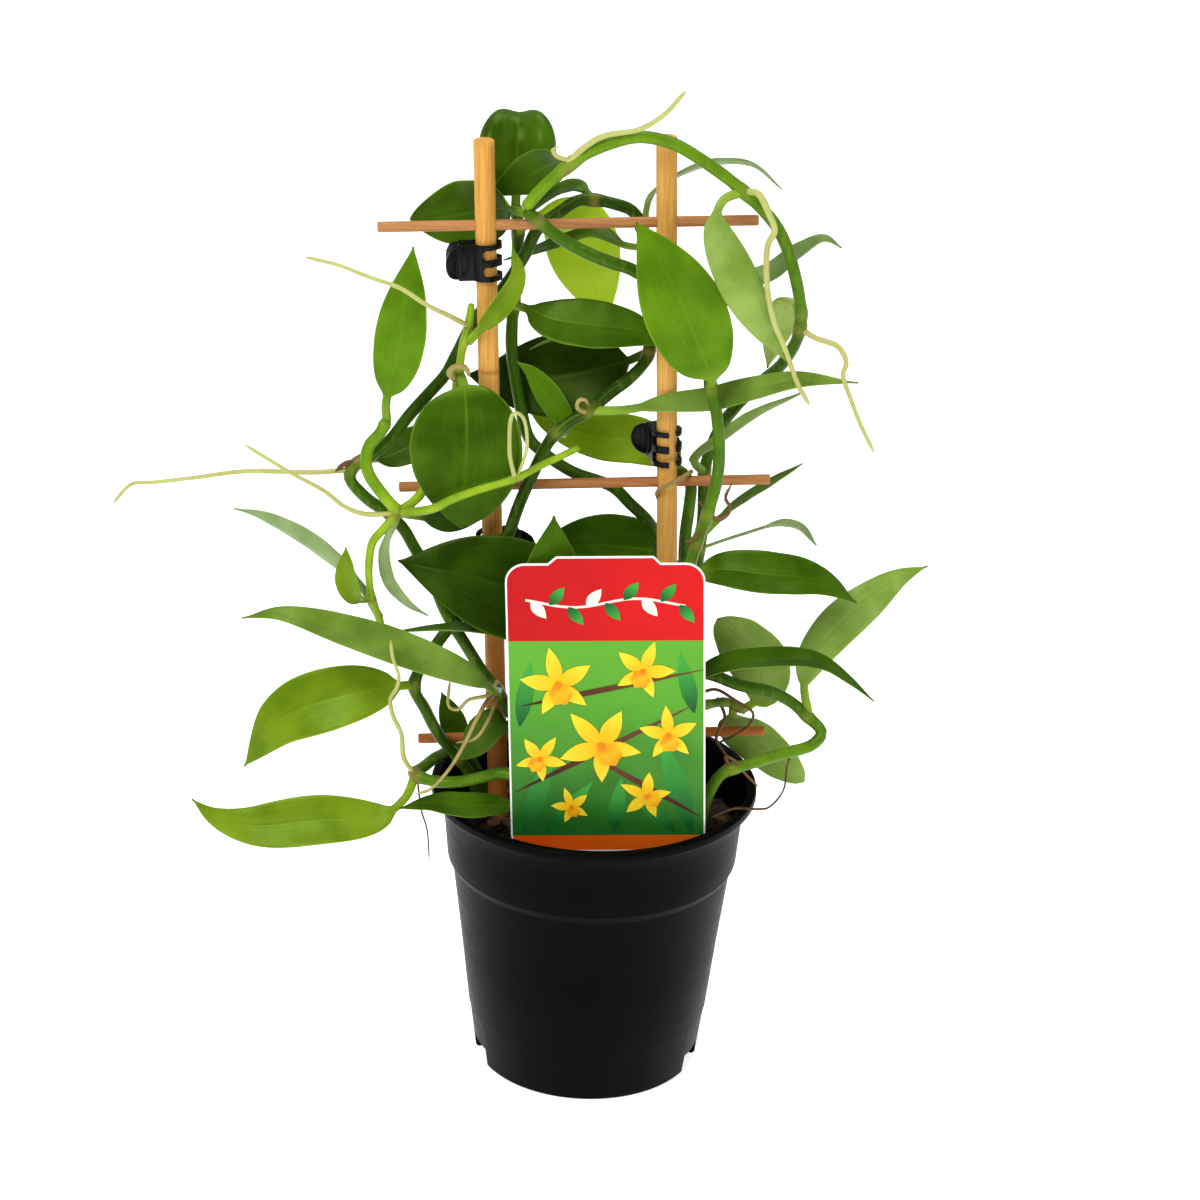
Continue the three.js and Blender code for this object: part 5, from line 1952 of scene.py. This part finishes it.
ROOTS = [
    Root("shoot", 1.0, [(-49, -4, 288), (-55, -12, 294), (-63, -18, 300), (-72, -19, 306),
        (-83, -17, 309), (-93, -15, 312), (-105, -13, 314)]),
    Root("shoot", 1.0, [(-72, -14, 221), (-84, -16, 221), (-91, -17, 224), (-98, -18, 230),
        (-109, -18, 236), (-126, -17, 246)]),
    Root("left", 1.0, [(-89, -4, 233), (-102, -8, 233), (-127, -12, 234), (-143, -14, 232),
        (-158, -15, 230), (-166, -15, 229), (-173, -14, 221)]),
    Root("arch", 1.2, [(-17, -13, 349), (-11, -15, 356), (-4, -16, 361), (8, -15, 363.5),
        (16, -16, 369), (23, -18, 378)]),
    Root("arch", 1.3, [(45, -15, 343), (49, -21, 344), (53, -22, 337), (55, -21, 331), (53, -22, 327),
        (53, -25, 315), (56, -26, 301), (60, -26, 292), (66, -25, 277), (70, -23, 270)]),
    Root("arch", 1.1, [(66, -12, 294), (71, -16, 292), (79, -19, 290), (82, -21, 285), (81, -22, 281),
        (84, -24, 273), (88, -26, 264), (93, -28, 255)]),
    Root("shoot", 0.9, [(-31, -23, 239), (-33, -26, 250), (-32, -25, 264), (-29, -25, 263),
        (-27, -26, 253), (-30, -23, 240)]),
    Root("lowLeft", 1.0, [(-65, -21, 122), (-69, -22, 129), (-70, -21, 138), (-73, -21, 145),
        (-74, -23, 152), (-71, -33, 162), (-70, -41, 171), (-72, -41, 177), (-73, -39, 183)]),
    Root("right", 0.9, [(36, -11, 223), (42, -12, 222), (45, -12, 226), (43, -12, 230),
        (45, -11, 235)], 0.72),
    Root("right", 0.9, [(31, 5, 233), (28, -3, 234), (23, -6, 232), (19, -3, 228), (20, 2, 222)], 0.45),
    Root("left", 0.9, [(-37, -12, 153), (-42, -26, 149), (-47, -31, 139), (-52, -32, 130),
        (-59, -31, 121), (-64, -31, 119)], 0.4),
    Root("left", 0.8, [(-36, -12, 150), (-39, -26, 146), (-43, -29, 141), (-50, -29, 139)], 0.4),
    Root("left", 0.9, [(-36, -12, 156), (-39, -22, 155), (-46, -20, 152), (-50, -18, 147),
        (-53, -18, 148), (-53, -17, 158)], 0.3),
    Root("left", 1.0, [(-6, -7, 258), (-10, -10, 261), (-10, -11, 264), (-8, -11, 265),
        (-6, -10, 262)], 0.45),
    Root("arch", 1.0, [(-14, -12, 351), (-17, -14, 352), (-20, -13, 353), (-21, -13, 355),
        (-19, -13, 356)], 0.2),
    Root("left", 1.2, [(-86, -4, 235), (-90, -5, 236), (-93, -6, 235), (-95, -7, 233)], 0.85),
    Root("shoot", 1.5, [(-53, -4, 268), (-55, -8, 272), (-53, -10, 275), (-50, -10, 275),
        (-48, -8, 271)], 0.4),
    Root("right", 0.6, [(30, -11, 212), (35, -12, 216), (37, -12, 221), (35, -12, 227),
        (33, -12, 229)], 0.7),
    Root("lowRight", 0.7, [(50, -18, 127), (47, -20, 133), (51, -20, 131), (54, -18, 126),
        (60, -14, 118)], 0.8),
    Root("lowRight", 0.7, [(37, -4, 150), (43, -4, 152), (50, -6, 149), (57, -6, 144), (56, -5, 139),
        (51, -4, 134), (44, -4, 130)], 0.8),
    Root("lowRight", 0.5, [(43, -30, 113), (51, -28, 116), (59, -24, 114), (64, -20, 113), (69, -16, 118),
        (70, -14, 127), (72, -13, 134)], 0.95),
    Root("lowRight", 0.7, [(44, 2, 146), (47, -2, 140), (44, -8, 134), (48, -12, 128), (45, -14, 120),
        (41, -10, 106)], 0.75),
    Root("lowLeft", 0.4, [(-64, -22, 121), (-63, -26, 116), (-62, -27, 110), (-60, -27, 103),
        (-59, -27, 90)], 1.0),
]

# Leaves: the large ones are pieces of their own, the small ones are one with their vine

LEAVES = [
    Leaf("leaf_top_left", 15, (0.1, -0.97, 0.15), 0.1, Tone.DARK, [(-17, -10, 350), (-21, -2, 347),
        (-28, 6, 341), (-36, 11, 335), (-44, 13, 330)], petiole=0.03),
    Leaf("leaf_top_round", 24, (0, -1, 0.05), 0.08, Tone.DARK, [(-25, -9, 328.5), (-31, -4, 329.5),
        (-38, 5, 328), (-50, 13, 324), (-61, 15.5, 321), (-71, 17, 319.5)], petiole=0.22, tip=0.8),
    Leaf("leaf_crown", 27, (0, -1, 0.5), 0.85, Tone.DARK, [(-34, 16, 325), (-34, 20, 332),
        (-34, 22, 341), (-34, 24, 348), (-34, 28, 353), (-34, 34, 354),
        (-34, 40, 351)], petiole=0.05, roll=0.9),
    Leaf("leaf_top_arch", 11, (0.2, 0.1, 1), 0.25, Tone.ASH, [(11, 10, 322), (13, 10, 333),
        (21, 9, 340), (35, 7, 346), (48, 6, 346), (58, 6, 338)]),
    Leaf("leaf_long_right", 9.5, (0, -0.75, 0.65), 0.4, Tone.MIST, [(-6, -6, 259), (4, -8, 260),
        (20, -5.5, 262), (37, -5.5, 264), (52, -12, 271), (67, -15, 276), (87, -13, 275)]),
    Leaf("leaf_right_kinked", 11, (-0.5, 0.55, 0.65), 0.3, Tone.GREY, [(36, 9, 231), (32, -1, 240),
        (41, -5, 249), (54, -6, 260), (69, -7, 269)]),
    Leaf("leaf_front_right", 28.5, (-0.1, -0.95, 0.25), 0.12, Tone.MID, [(36, -13, 271),
        (36, -18, 277), (32, -20, 287), (24, -20, 305), (15, -18, 321), (8, -15, 331)], petiole=0.05),
    Leaf("leaf_hanging", 14.5, (-0.25, 0.85, 0.3), 0.15, Tone.MIST, [(44, -15, 343), (37, -20, 341),
        (35, -23, 334), (42, -25, 317), (52, -24, 299), (61, -21, 285)]),
    Leaf("leaf_pale_right", 12, (0.2, -0.9, 0.1), 0.12, Tone.PAINTED_PALE_LIT, [(66, -12, 300), (62, -2, 301),
        (59, 3, 289), (56, 2, 274)]),
    Leaf("leaf_upper_right", 10.5, (-0.1, -0.3, 0.9), 0.3, Tone.ASH, [(33, -11, 286), (37, 0, 294),
        (44, 6, 302), (56, 9, 306), (66, 10, 315), (74, 9, 320), (80, 8, 317)]),
    Leaf("leaf_inner_upper", 18, (0, -0.75, 0.6), 0.2, Tone.DARK, [(-34, 11, 291), (-29, 2, 293),
        (-20, -3, 291), (-6, -5, 290), (8, -6, 289), (23, -7, 285)]),
    Leaf("leaf_inner_dark", 30, (0, -0.9, 0.4), 0.15, Tone.DEEP, [(14, 6, 277), (5, 14, 270),
        (-17, 18, 263), (-38, 18, 261), (-50, 16, 263)]),
    Leaf("leaf_small_bright", 9.5, (-0.3, -0.8, 0.4), 0.3, Tone.MID, [(-17, -8.5, 251),
        (-14.5, -3, 249), (-15, -1, 254), (-18, -1, 259), (-22, -1, 265), (-27, -1, 271),
        (-32, 0, 274)], young=True),
    Leaf("leaf_inner_right", 18, (0, -0.85, 0.4), 0.15, Tone.PAINTED_LIT, [(25, 9, 232), (26, 17, 231),
        (22, 23, 233), (12, 26, 236), (-1, 27, 237), (-12, 26, 239.5), (-22, 25, 243.5),
        (-29, 24, 249)], petiole=0.08),
    Leaf("leaf_left_round", 40, (-0.1, -0.95, 0.35), 0.08, Tone.DARK, [(-52, -4, 271), (-50, -9, 268),
        (-48.5, -13, 252), (-49, -15, 233), (-50, -14, 216)], petiole=0.06, tip=0.8, young=True),
    Leaf("leaf_behind_cane", 11, (0, -0.8, 0.4), 0.2, Tone.DARK, [(-71, -14, 221), (-65, -9, 218),
        (-58, 1, 213), (-52, 8, 212), (-43, 12, 215), (-33, 16, 220)]),
    Leaf("leaf_left_upright", 18.5, (-0.2, -0.9, 0.3), 0.18, Tone.MID, [(-77, -7, 253),
        (-77, -10, 261), (-72.5, -13, 281), (-69.5, -12, 303), (-68, -10, 318)], young=True),
    Leaf("leaf_over_cane", 8, (0.5, -0.6, 0.5), 0.5, Tone.BRIGHT, [(-49, -4, 282), (-43, -10, 291),
        (-36, -11, 301), (-32, -11, 310), (-34, -9, 319)], young=True),
    Leaf("leaf_back_pale", 26, (0, -1, 0.2), 0.1, Tone.PALE, [(-33, 13, 317), (-23, 23, 322),
        (-14, 29, 316), (-8, 31, 300), (-1, 31, 278)], young=True),
    Leaf("leaf_back_flat", 11, (0, -0.15, 1), 0.25, Tone.GREY, [(11, 10, 314), (4, 16, 313),
        (-6, 19, 316), (-18, 21, 311), (-38, 22, 304)]),
    Leaf("leaf_left_grey", 8, (-0.35, 0.7, 0.55), 0.3, Tone.ASH, [(-78, -20, 183), (-86, -15, 194),
        (-104, -12, 208), (-121, -13, 218), (-130, -15, 221)]),
    Leaf("leaf_front_long", 13.5, (0.1, -0.7, 0.7), 0.3, Tone.MIST, [(-35, -10, 151), (-37, -22, 157),
        (-43, -28, 164), (-63, -33, 174), (-88, -34, 183), (-112, -33, 189), (-126, -31, 186)]),
    Leaf("leaf_left_drooping", 23, (-0.1, -0.85, 0.5), 0.15, Tone.BRIGHT, [(-66, -13, 154),
        (-72, -17, 155), (-92, -21, 152), (-112, -21, 143),
        (-127, -19, 122)], petiole=0.05, young=True),
    Leaf("leaf_low_left", 18.5, (0, -0.8, 0.6), 0.2, Tone.BRIGHT, [(-65, -21, 121), (-68, -26, 115),
        (-76, -29, 109), (-99, -31, 107), (-124, -31, 104), (-137, -30, 107), (-145, -29, 113)]),
    Leaf("leaf_along_rim", 11, (0, -0.5, 0.85), 0.25, Tone.DARK, [(-17, -31, 108), (-30, -29, 114),
        (-45, -34, 116), (-58, -32, 116), (-70, -31, 113)]),
    Leaf("leaf_middle_dark", 36, (0, -0.9, 0.4), 0.12, Tone.DEEP, [(31, -9, 190), (12, -16, 189),
        (-8, -19, 190), (-28, -20, 195), (-50, -20, 201), (-72, -17, 204)], petiole=0.3),
    Leaf("leaf_pointed", 26, (0, -0.95, 0.3), 0.1, Tone.DARK, [(30, -8, 172), (8, -20, 166),
        (-13, -28, 178), (-17, -30, 201), (-17, -29, 228)], petiole=0.42),
    Leaf("leaf_behind_label", 24, (0, -0.75, 0.6), 0.12, Tone.DARK, [(20, 17.5, 186), (27, 21, 190),
        (22, 24, 193), (8, 24, 195), (-8, 22, 196), (-26, 19, 194)], petiole=0.12),
    Leaf("leaf_right_dark", 16, (0, -0.75, 0.65), 0.3, Tone.DARK, [(30, -9, 196), (40, -14, 203),
        (56, -18, 204), (78, -19, 202), (91, -18, 194)], petiole=0.03),
    Leaf("leaf_right_raised", 15.5, (0.5, 0.8, -0.1), 0.15, Tone.MIST, [(77, -8, 145), (75, -6, 156),
        (77, -4, 165), (85, -4, 178), (96, -4, 189), (107, -3, 198), (117, -1, 202)], petiole=0.1),
    Leaf("leaf_right_low", 10.5, (0, -0.35, 0.95), 0.35, Tone.DARK, [(29, -9, 150), (31, -18, 158),
        (42, -25, 170), (65, -27, 175), (79, -27, 174), (90, -26, 167), (99, -25, 159)]),
    Leaf("leaf_right_back", 24, (0, 0.9, 0.45), 0.12, Tone.MIST, [(53, 2, 141), (59, 7, 144),
        (59, 9, 155), (51, 10, 166), (43, 10, 174)], petiole=0.06, tip=0.6),
    Leaf("leaf_rim_right", 19, (0.2, 0.95, 0.15), 0.1, Tone.MIST, [(50, 2, 143), (51, 8, 133),
        (59, 11, 124), (68, 10, 117), (78, 8, 110)], petiole=0.1, tip=0.55),
    Leaf("leaf_in_pot", 14, (-0.3, -0.7, 0.7), 0.2, Tone.GREY, [(-28, -8, 132), (-36, -14, 140),
        (-44, -15, 132), (-50, -15, 125)]),
    Leaf("leaf_left_back", 13, (0, -0.8, 0.5), 0.2, Tone.GREY, [(-84, -3, 237), (-79, 6, 234),
        (-66, 9, 239), (-50, 9, 241)]),
    Leaf("leaf_right_thin", 9, (-0.35, 0.38, 0.88), 0.2, Tone.ASH, [(36, 9, 202), (49, 5, 209),
        (63, 4, 214), (71, 4, 213), (77, 3, 207)], twist=40, petiole=0.45, stalk=0.55),
    Leaf("leaf_right_back_low", 6.5, (-0.2, -0.1, 0.95), 0.3, Tone.GREY, [(36, 9, 207), (45, 13, 215),
        (56, 15, 222.5), (71, 14, 234)]),
    Leaf("leaf_left_level", 9.5, (0, -0.1, 1), 0.3, Tone.DARK, [(-26, -7.5, 130), (-21, -14, 140),
        (-22, -18, 160), (-31, -21, 177), (-44, -22, 180.5), (-58, -22, 180.5), (-74, -22, 178.5)]),
]

SIDE_LEAVES = [
    ("left", Leaf("curled", 8, (-0.1, -0.3, 1), 0.3, Tone.GREY, [(-7, 9, 331), (-12, 14, 334),
        (-20, 16, 331), (-30, 16, 323)])),
    ("shoot", Leaf("tip", 9, (-0.4, -0.8, 0.3), 0.4, Tone.BRIGHT, [(-81, -20, 190), (-86, -24, 192),
        (-89, -24, 199), (-90, -23, 211)])),
    ("shoot", Leaf("hanging", 6, (0.3, 0.8, 0.4), 0.3, Tone.ASH, [(-73, -15, 219), (-77, -20, 209),
        (-75, -23, 198), (-68, -23, 190), (-61, -21, 185)])),
    ("left", Leaf("low", 10, (-0.2, -0.8, 0.5), 0.2, Tone.DARK, [(-50, -4, 121), (-51, 4, 127),
        (-54, 6, 135), (-57, 5, 143)])),
    ("left", Leaf("edge_on", 7, (0, 0.4, 0.92), 0.3, Tone.GREY, [(14, 7, 283), (9, 11, 283.5),
        (-2, 12, 282), (-14, 12, 280), (-23, 11, 277.5), (-28, 10, 275)])),
]


@dataclass
class Plant:
    """The whole climber: vines first, then the leaves that sit on them."""

    stem: StemFinish = StemFinish()
    root: RootFinish = RootFinish()

    def build(self) -> list[bpy.types.Object]:
        """Grow the plant.

        Returns:
            Its pieces.
        """
        vines = {}
        for name, path in STEMS.items():
            vine = Vine(name, path, AGES[name], "shoot" if name in SHOOTS else "stem")
            vine.sides = [side for side in SIDES if side.vine == name]
            vine.roots = [root for root in ROOTS if root.vine == name]
            vine.leaves = [leaf for owner, leaf in SIDE_LEAVES if owner == name]
            vine.starts = [side.path[0] for side in vine.sides] + [root.path[0] for root in vine.roots]
            vine.starts += [leaf.path[0] for leaf in vine.leaves]
            vines[name] = vine
        owners = {}
        for leaf in LEAVES:
            owners[leaf.name] = min(vines.values(), key=lambda vine: vine.gap(leaf.path[0]))
            owners[leaf.name].starts.append(leaf.path[0])
        finishes = [self.stem.material(), self.root.material()]
        made = [vine.build(finishes) for vine in vines.values()]
        for leaf in LEAVES:
            skin = Skin()
            leaf.grow(skin, owners[leaf.name].trim(leaf))
            slot = "young_leaf" if leaf.young else "leaf"
            made.append(skin.piece(f"{leaf.name}_blade", [leaf.tone.value.material()], slot, leaf.name))
        return made


# Studio


@dataclass
class Studio:
    """A bright, plain table with soft light all round, seen from a little above."""

    pitch: float = 23.3
    roll: float = 1.9
    place: Point = (0.0, -1.1654, 0.686)
    lens: float = 105.5
    sky: float = 0.34
    glow: float = 0.7
    far: float = 11.0
    cloud: float = 900.0
    aim: Point = (0.0, 0.0, 0.18)
    lights: tuple[tuple[str, Point, float, float], ...] = (
        ("key", (-0.7, -1.2, 1.6), 0.9, 24.0), ("fill", (1.5, -0.9, 1.0), 1.2, 8.0),
        ("top", (0.1, 0.4, 1.9), 1.0, 14.0),
    )

    def _surface(
        self, name: str, mesh: bmesh.types.BMesh, finish: str, colour: Colour, glow: float,
    ) -> bpy.types.Object:
        """Make a plain shape of the studio that shines a little.

        Args:
            name: Its name.
            mesh: Its shape, which is used up.
            finish: The name of its material.
            colour: The first of its two near-white colours.
            glow: How strongly it shines.

        Returns:
            The shape.
        """
        data = bpy.data.meshes.new(name)
        mesh.to_mesh(data)
        mesh.free()
        shader = Shader(finish, 0.9, 0.0)
        shader.surface.inputs["Emission Color"].default_value = WHITE
        shader.surface.inputs["Emission Strength"].default_value = glow
        cloud = shader.grain(self.cloud)
        data.materials.append(shader.finish(shader.mix(cloud, colour, paint(247, 247, 247))))
        made = bpy.data.objects.new(name, data)
        bpy.context.scene.collection.objects.link(made)
        return made

    def _backdrop(self) -> None:
        """Stand a plain white wall far round the table, which casts and throws no light."""
        mesh = bmesh.new()
        bmesh.ops.create_cone(
            mesh, cap_ends=False, segments=48, radius1=self.far, radius2=self.far, depth=self.far,
        )
        bmesh.ops.reverse_faces(mesh, faces=mesh.faces[:])
        wall = self._surface("studio_wall", mesh, "studio_wall_white", WHITE, 1.0)
        wall.visible_diffuse = False
        wall.visible_glossy = False
        wall.visible_shadow = False
        wall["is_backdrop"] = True

    def _floor(self) -> None:
        """Lay the table."""
        mesh = bmesh.new()
        bmesh.ops.create_grid(mesh, x_segments=8, y_segments=8, size=12.0)
        self._surface("studio_table", mesh, "studio_white", paint(244, 244, 244), self.glow)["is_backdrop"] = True

    def _light(self, name: str, place: Point, size: float, power: float) -> None:
        """Hang one soft light that looks at the plant.

        Args:
            name: The light's name.
            place: Its place in metres.
            size: Its side in metres.
            power: Its power in watts.
        """
        data = bpy.data.lights.new(name, "AREA")
        data.size = size
        data.energy = power
        light = bpy.data.objects.new(name, data)
        light.location = place
        light.rotation_euler = (Vector(self.aim) - Vector(place)).to_track_quat("-Z", "Y").to_euler()
        bpy.context.scene.collection.objects.link(light)

    def _sky(self) -> None:
        """Light the scene evenly from all round, in plain colours."""
        world = bpy.data.worlds.new("studio_sky")
        world.use_nodes = True
        sky = world.node_tree.nodes["Background"]
        sky.inputs["Color"].default_value = WHITE
        sky.inputs["Strength"].default_value = self.sky
        scene = bpy.context.scene
        scene.world = world
        scene.view_settings.view_transform = "Standard"
        scene.view_settings.look = "None"

    def _camera(self) -> None:
        """Stand the camera where the photograph was taken from."""
        data = bpy.data.cameras.new("photo_camera")
        data.lens = self.lens
        data.sensor_width = 36.0
        data.clip_start, data.clip_end = 0.05, 60.0
        camera = bpy.data.objects.new("photo_camera", data)
        pitch, roll = math.radians(self.pitch), math.radians(self.roll)
        ahead = Vector((0, math.cos(pitch), -math.sin(pitch)))
        level, upward = Vector((1, 0, 0)), Vector((0, math.sin(pitch), math.cos(pitch)))
        right = level * math.cos(roll) + upward * math.sin(roll)
        up = upward * math.cos(roll) - level * math.sin(roll)
        turn = Matrix((right, up, -ahead)).transposed().to_4x4()
        camera.matrix_world = Matrix.Translation(self.place) @ turn
        bpy.context.scene.collection.objects.link(camera)
        bpy.context.scene.camera = camera

    def build(self) -> None:
        """Set the table, the wall, the lights, the sky and the camera."""
        self._floor()
        self._backdrop()
        for light in self.lights:
            self._light(*light)
        self._sky()
        self._camera()


def main() -> None:
    """Build the object's looks around its frame, then the studio."""
    logging.basicConfig(level=logging.INFO, format="%(message)s")
    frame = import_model()
    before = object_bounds()
    pot = Pot()
    pot.build()
    Bark().build(pot)
    trellis = Trellis()
    trellis.build()
    half = trellis.spacing / 2
    for clip in (
        Clip("clip_left_upper", -half, 313.0, 0.0, 1),
        Clip("clip_right", half, 243.0, 64.0, 1),
        Clip("clip_left_lower", -half, 205.0, 152.0, -1),
    ):
        clip.build(trellis, frame)
    Label().build()
    Plant().build()
    Studio().build()
    sizes = {"frame": [list(corner) for corner in before], "looks": [list(corner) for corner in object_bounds()]}
    LOG.info("frame %s", sizes["frame"])
    LOG.info("looks %s", sizes["looks"])


if __name__ == "__main__":
    main()
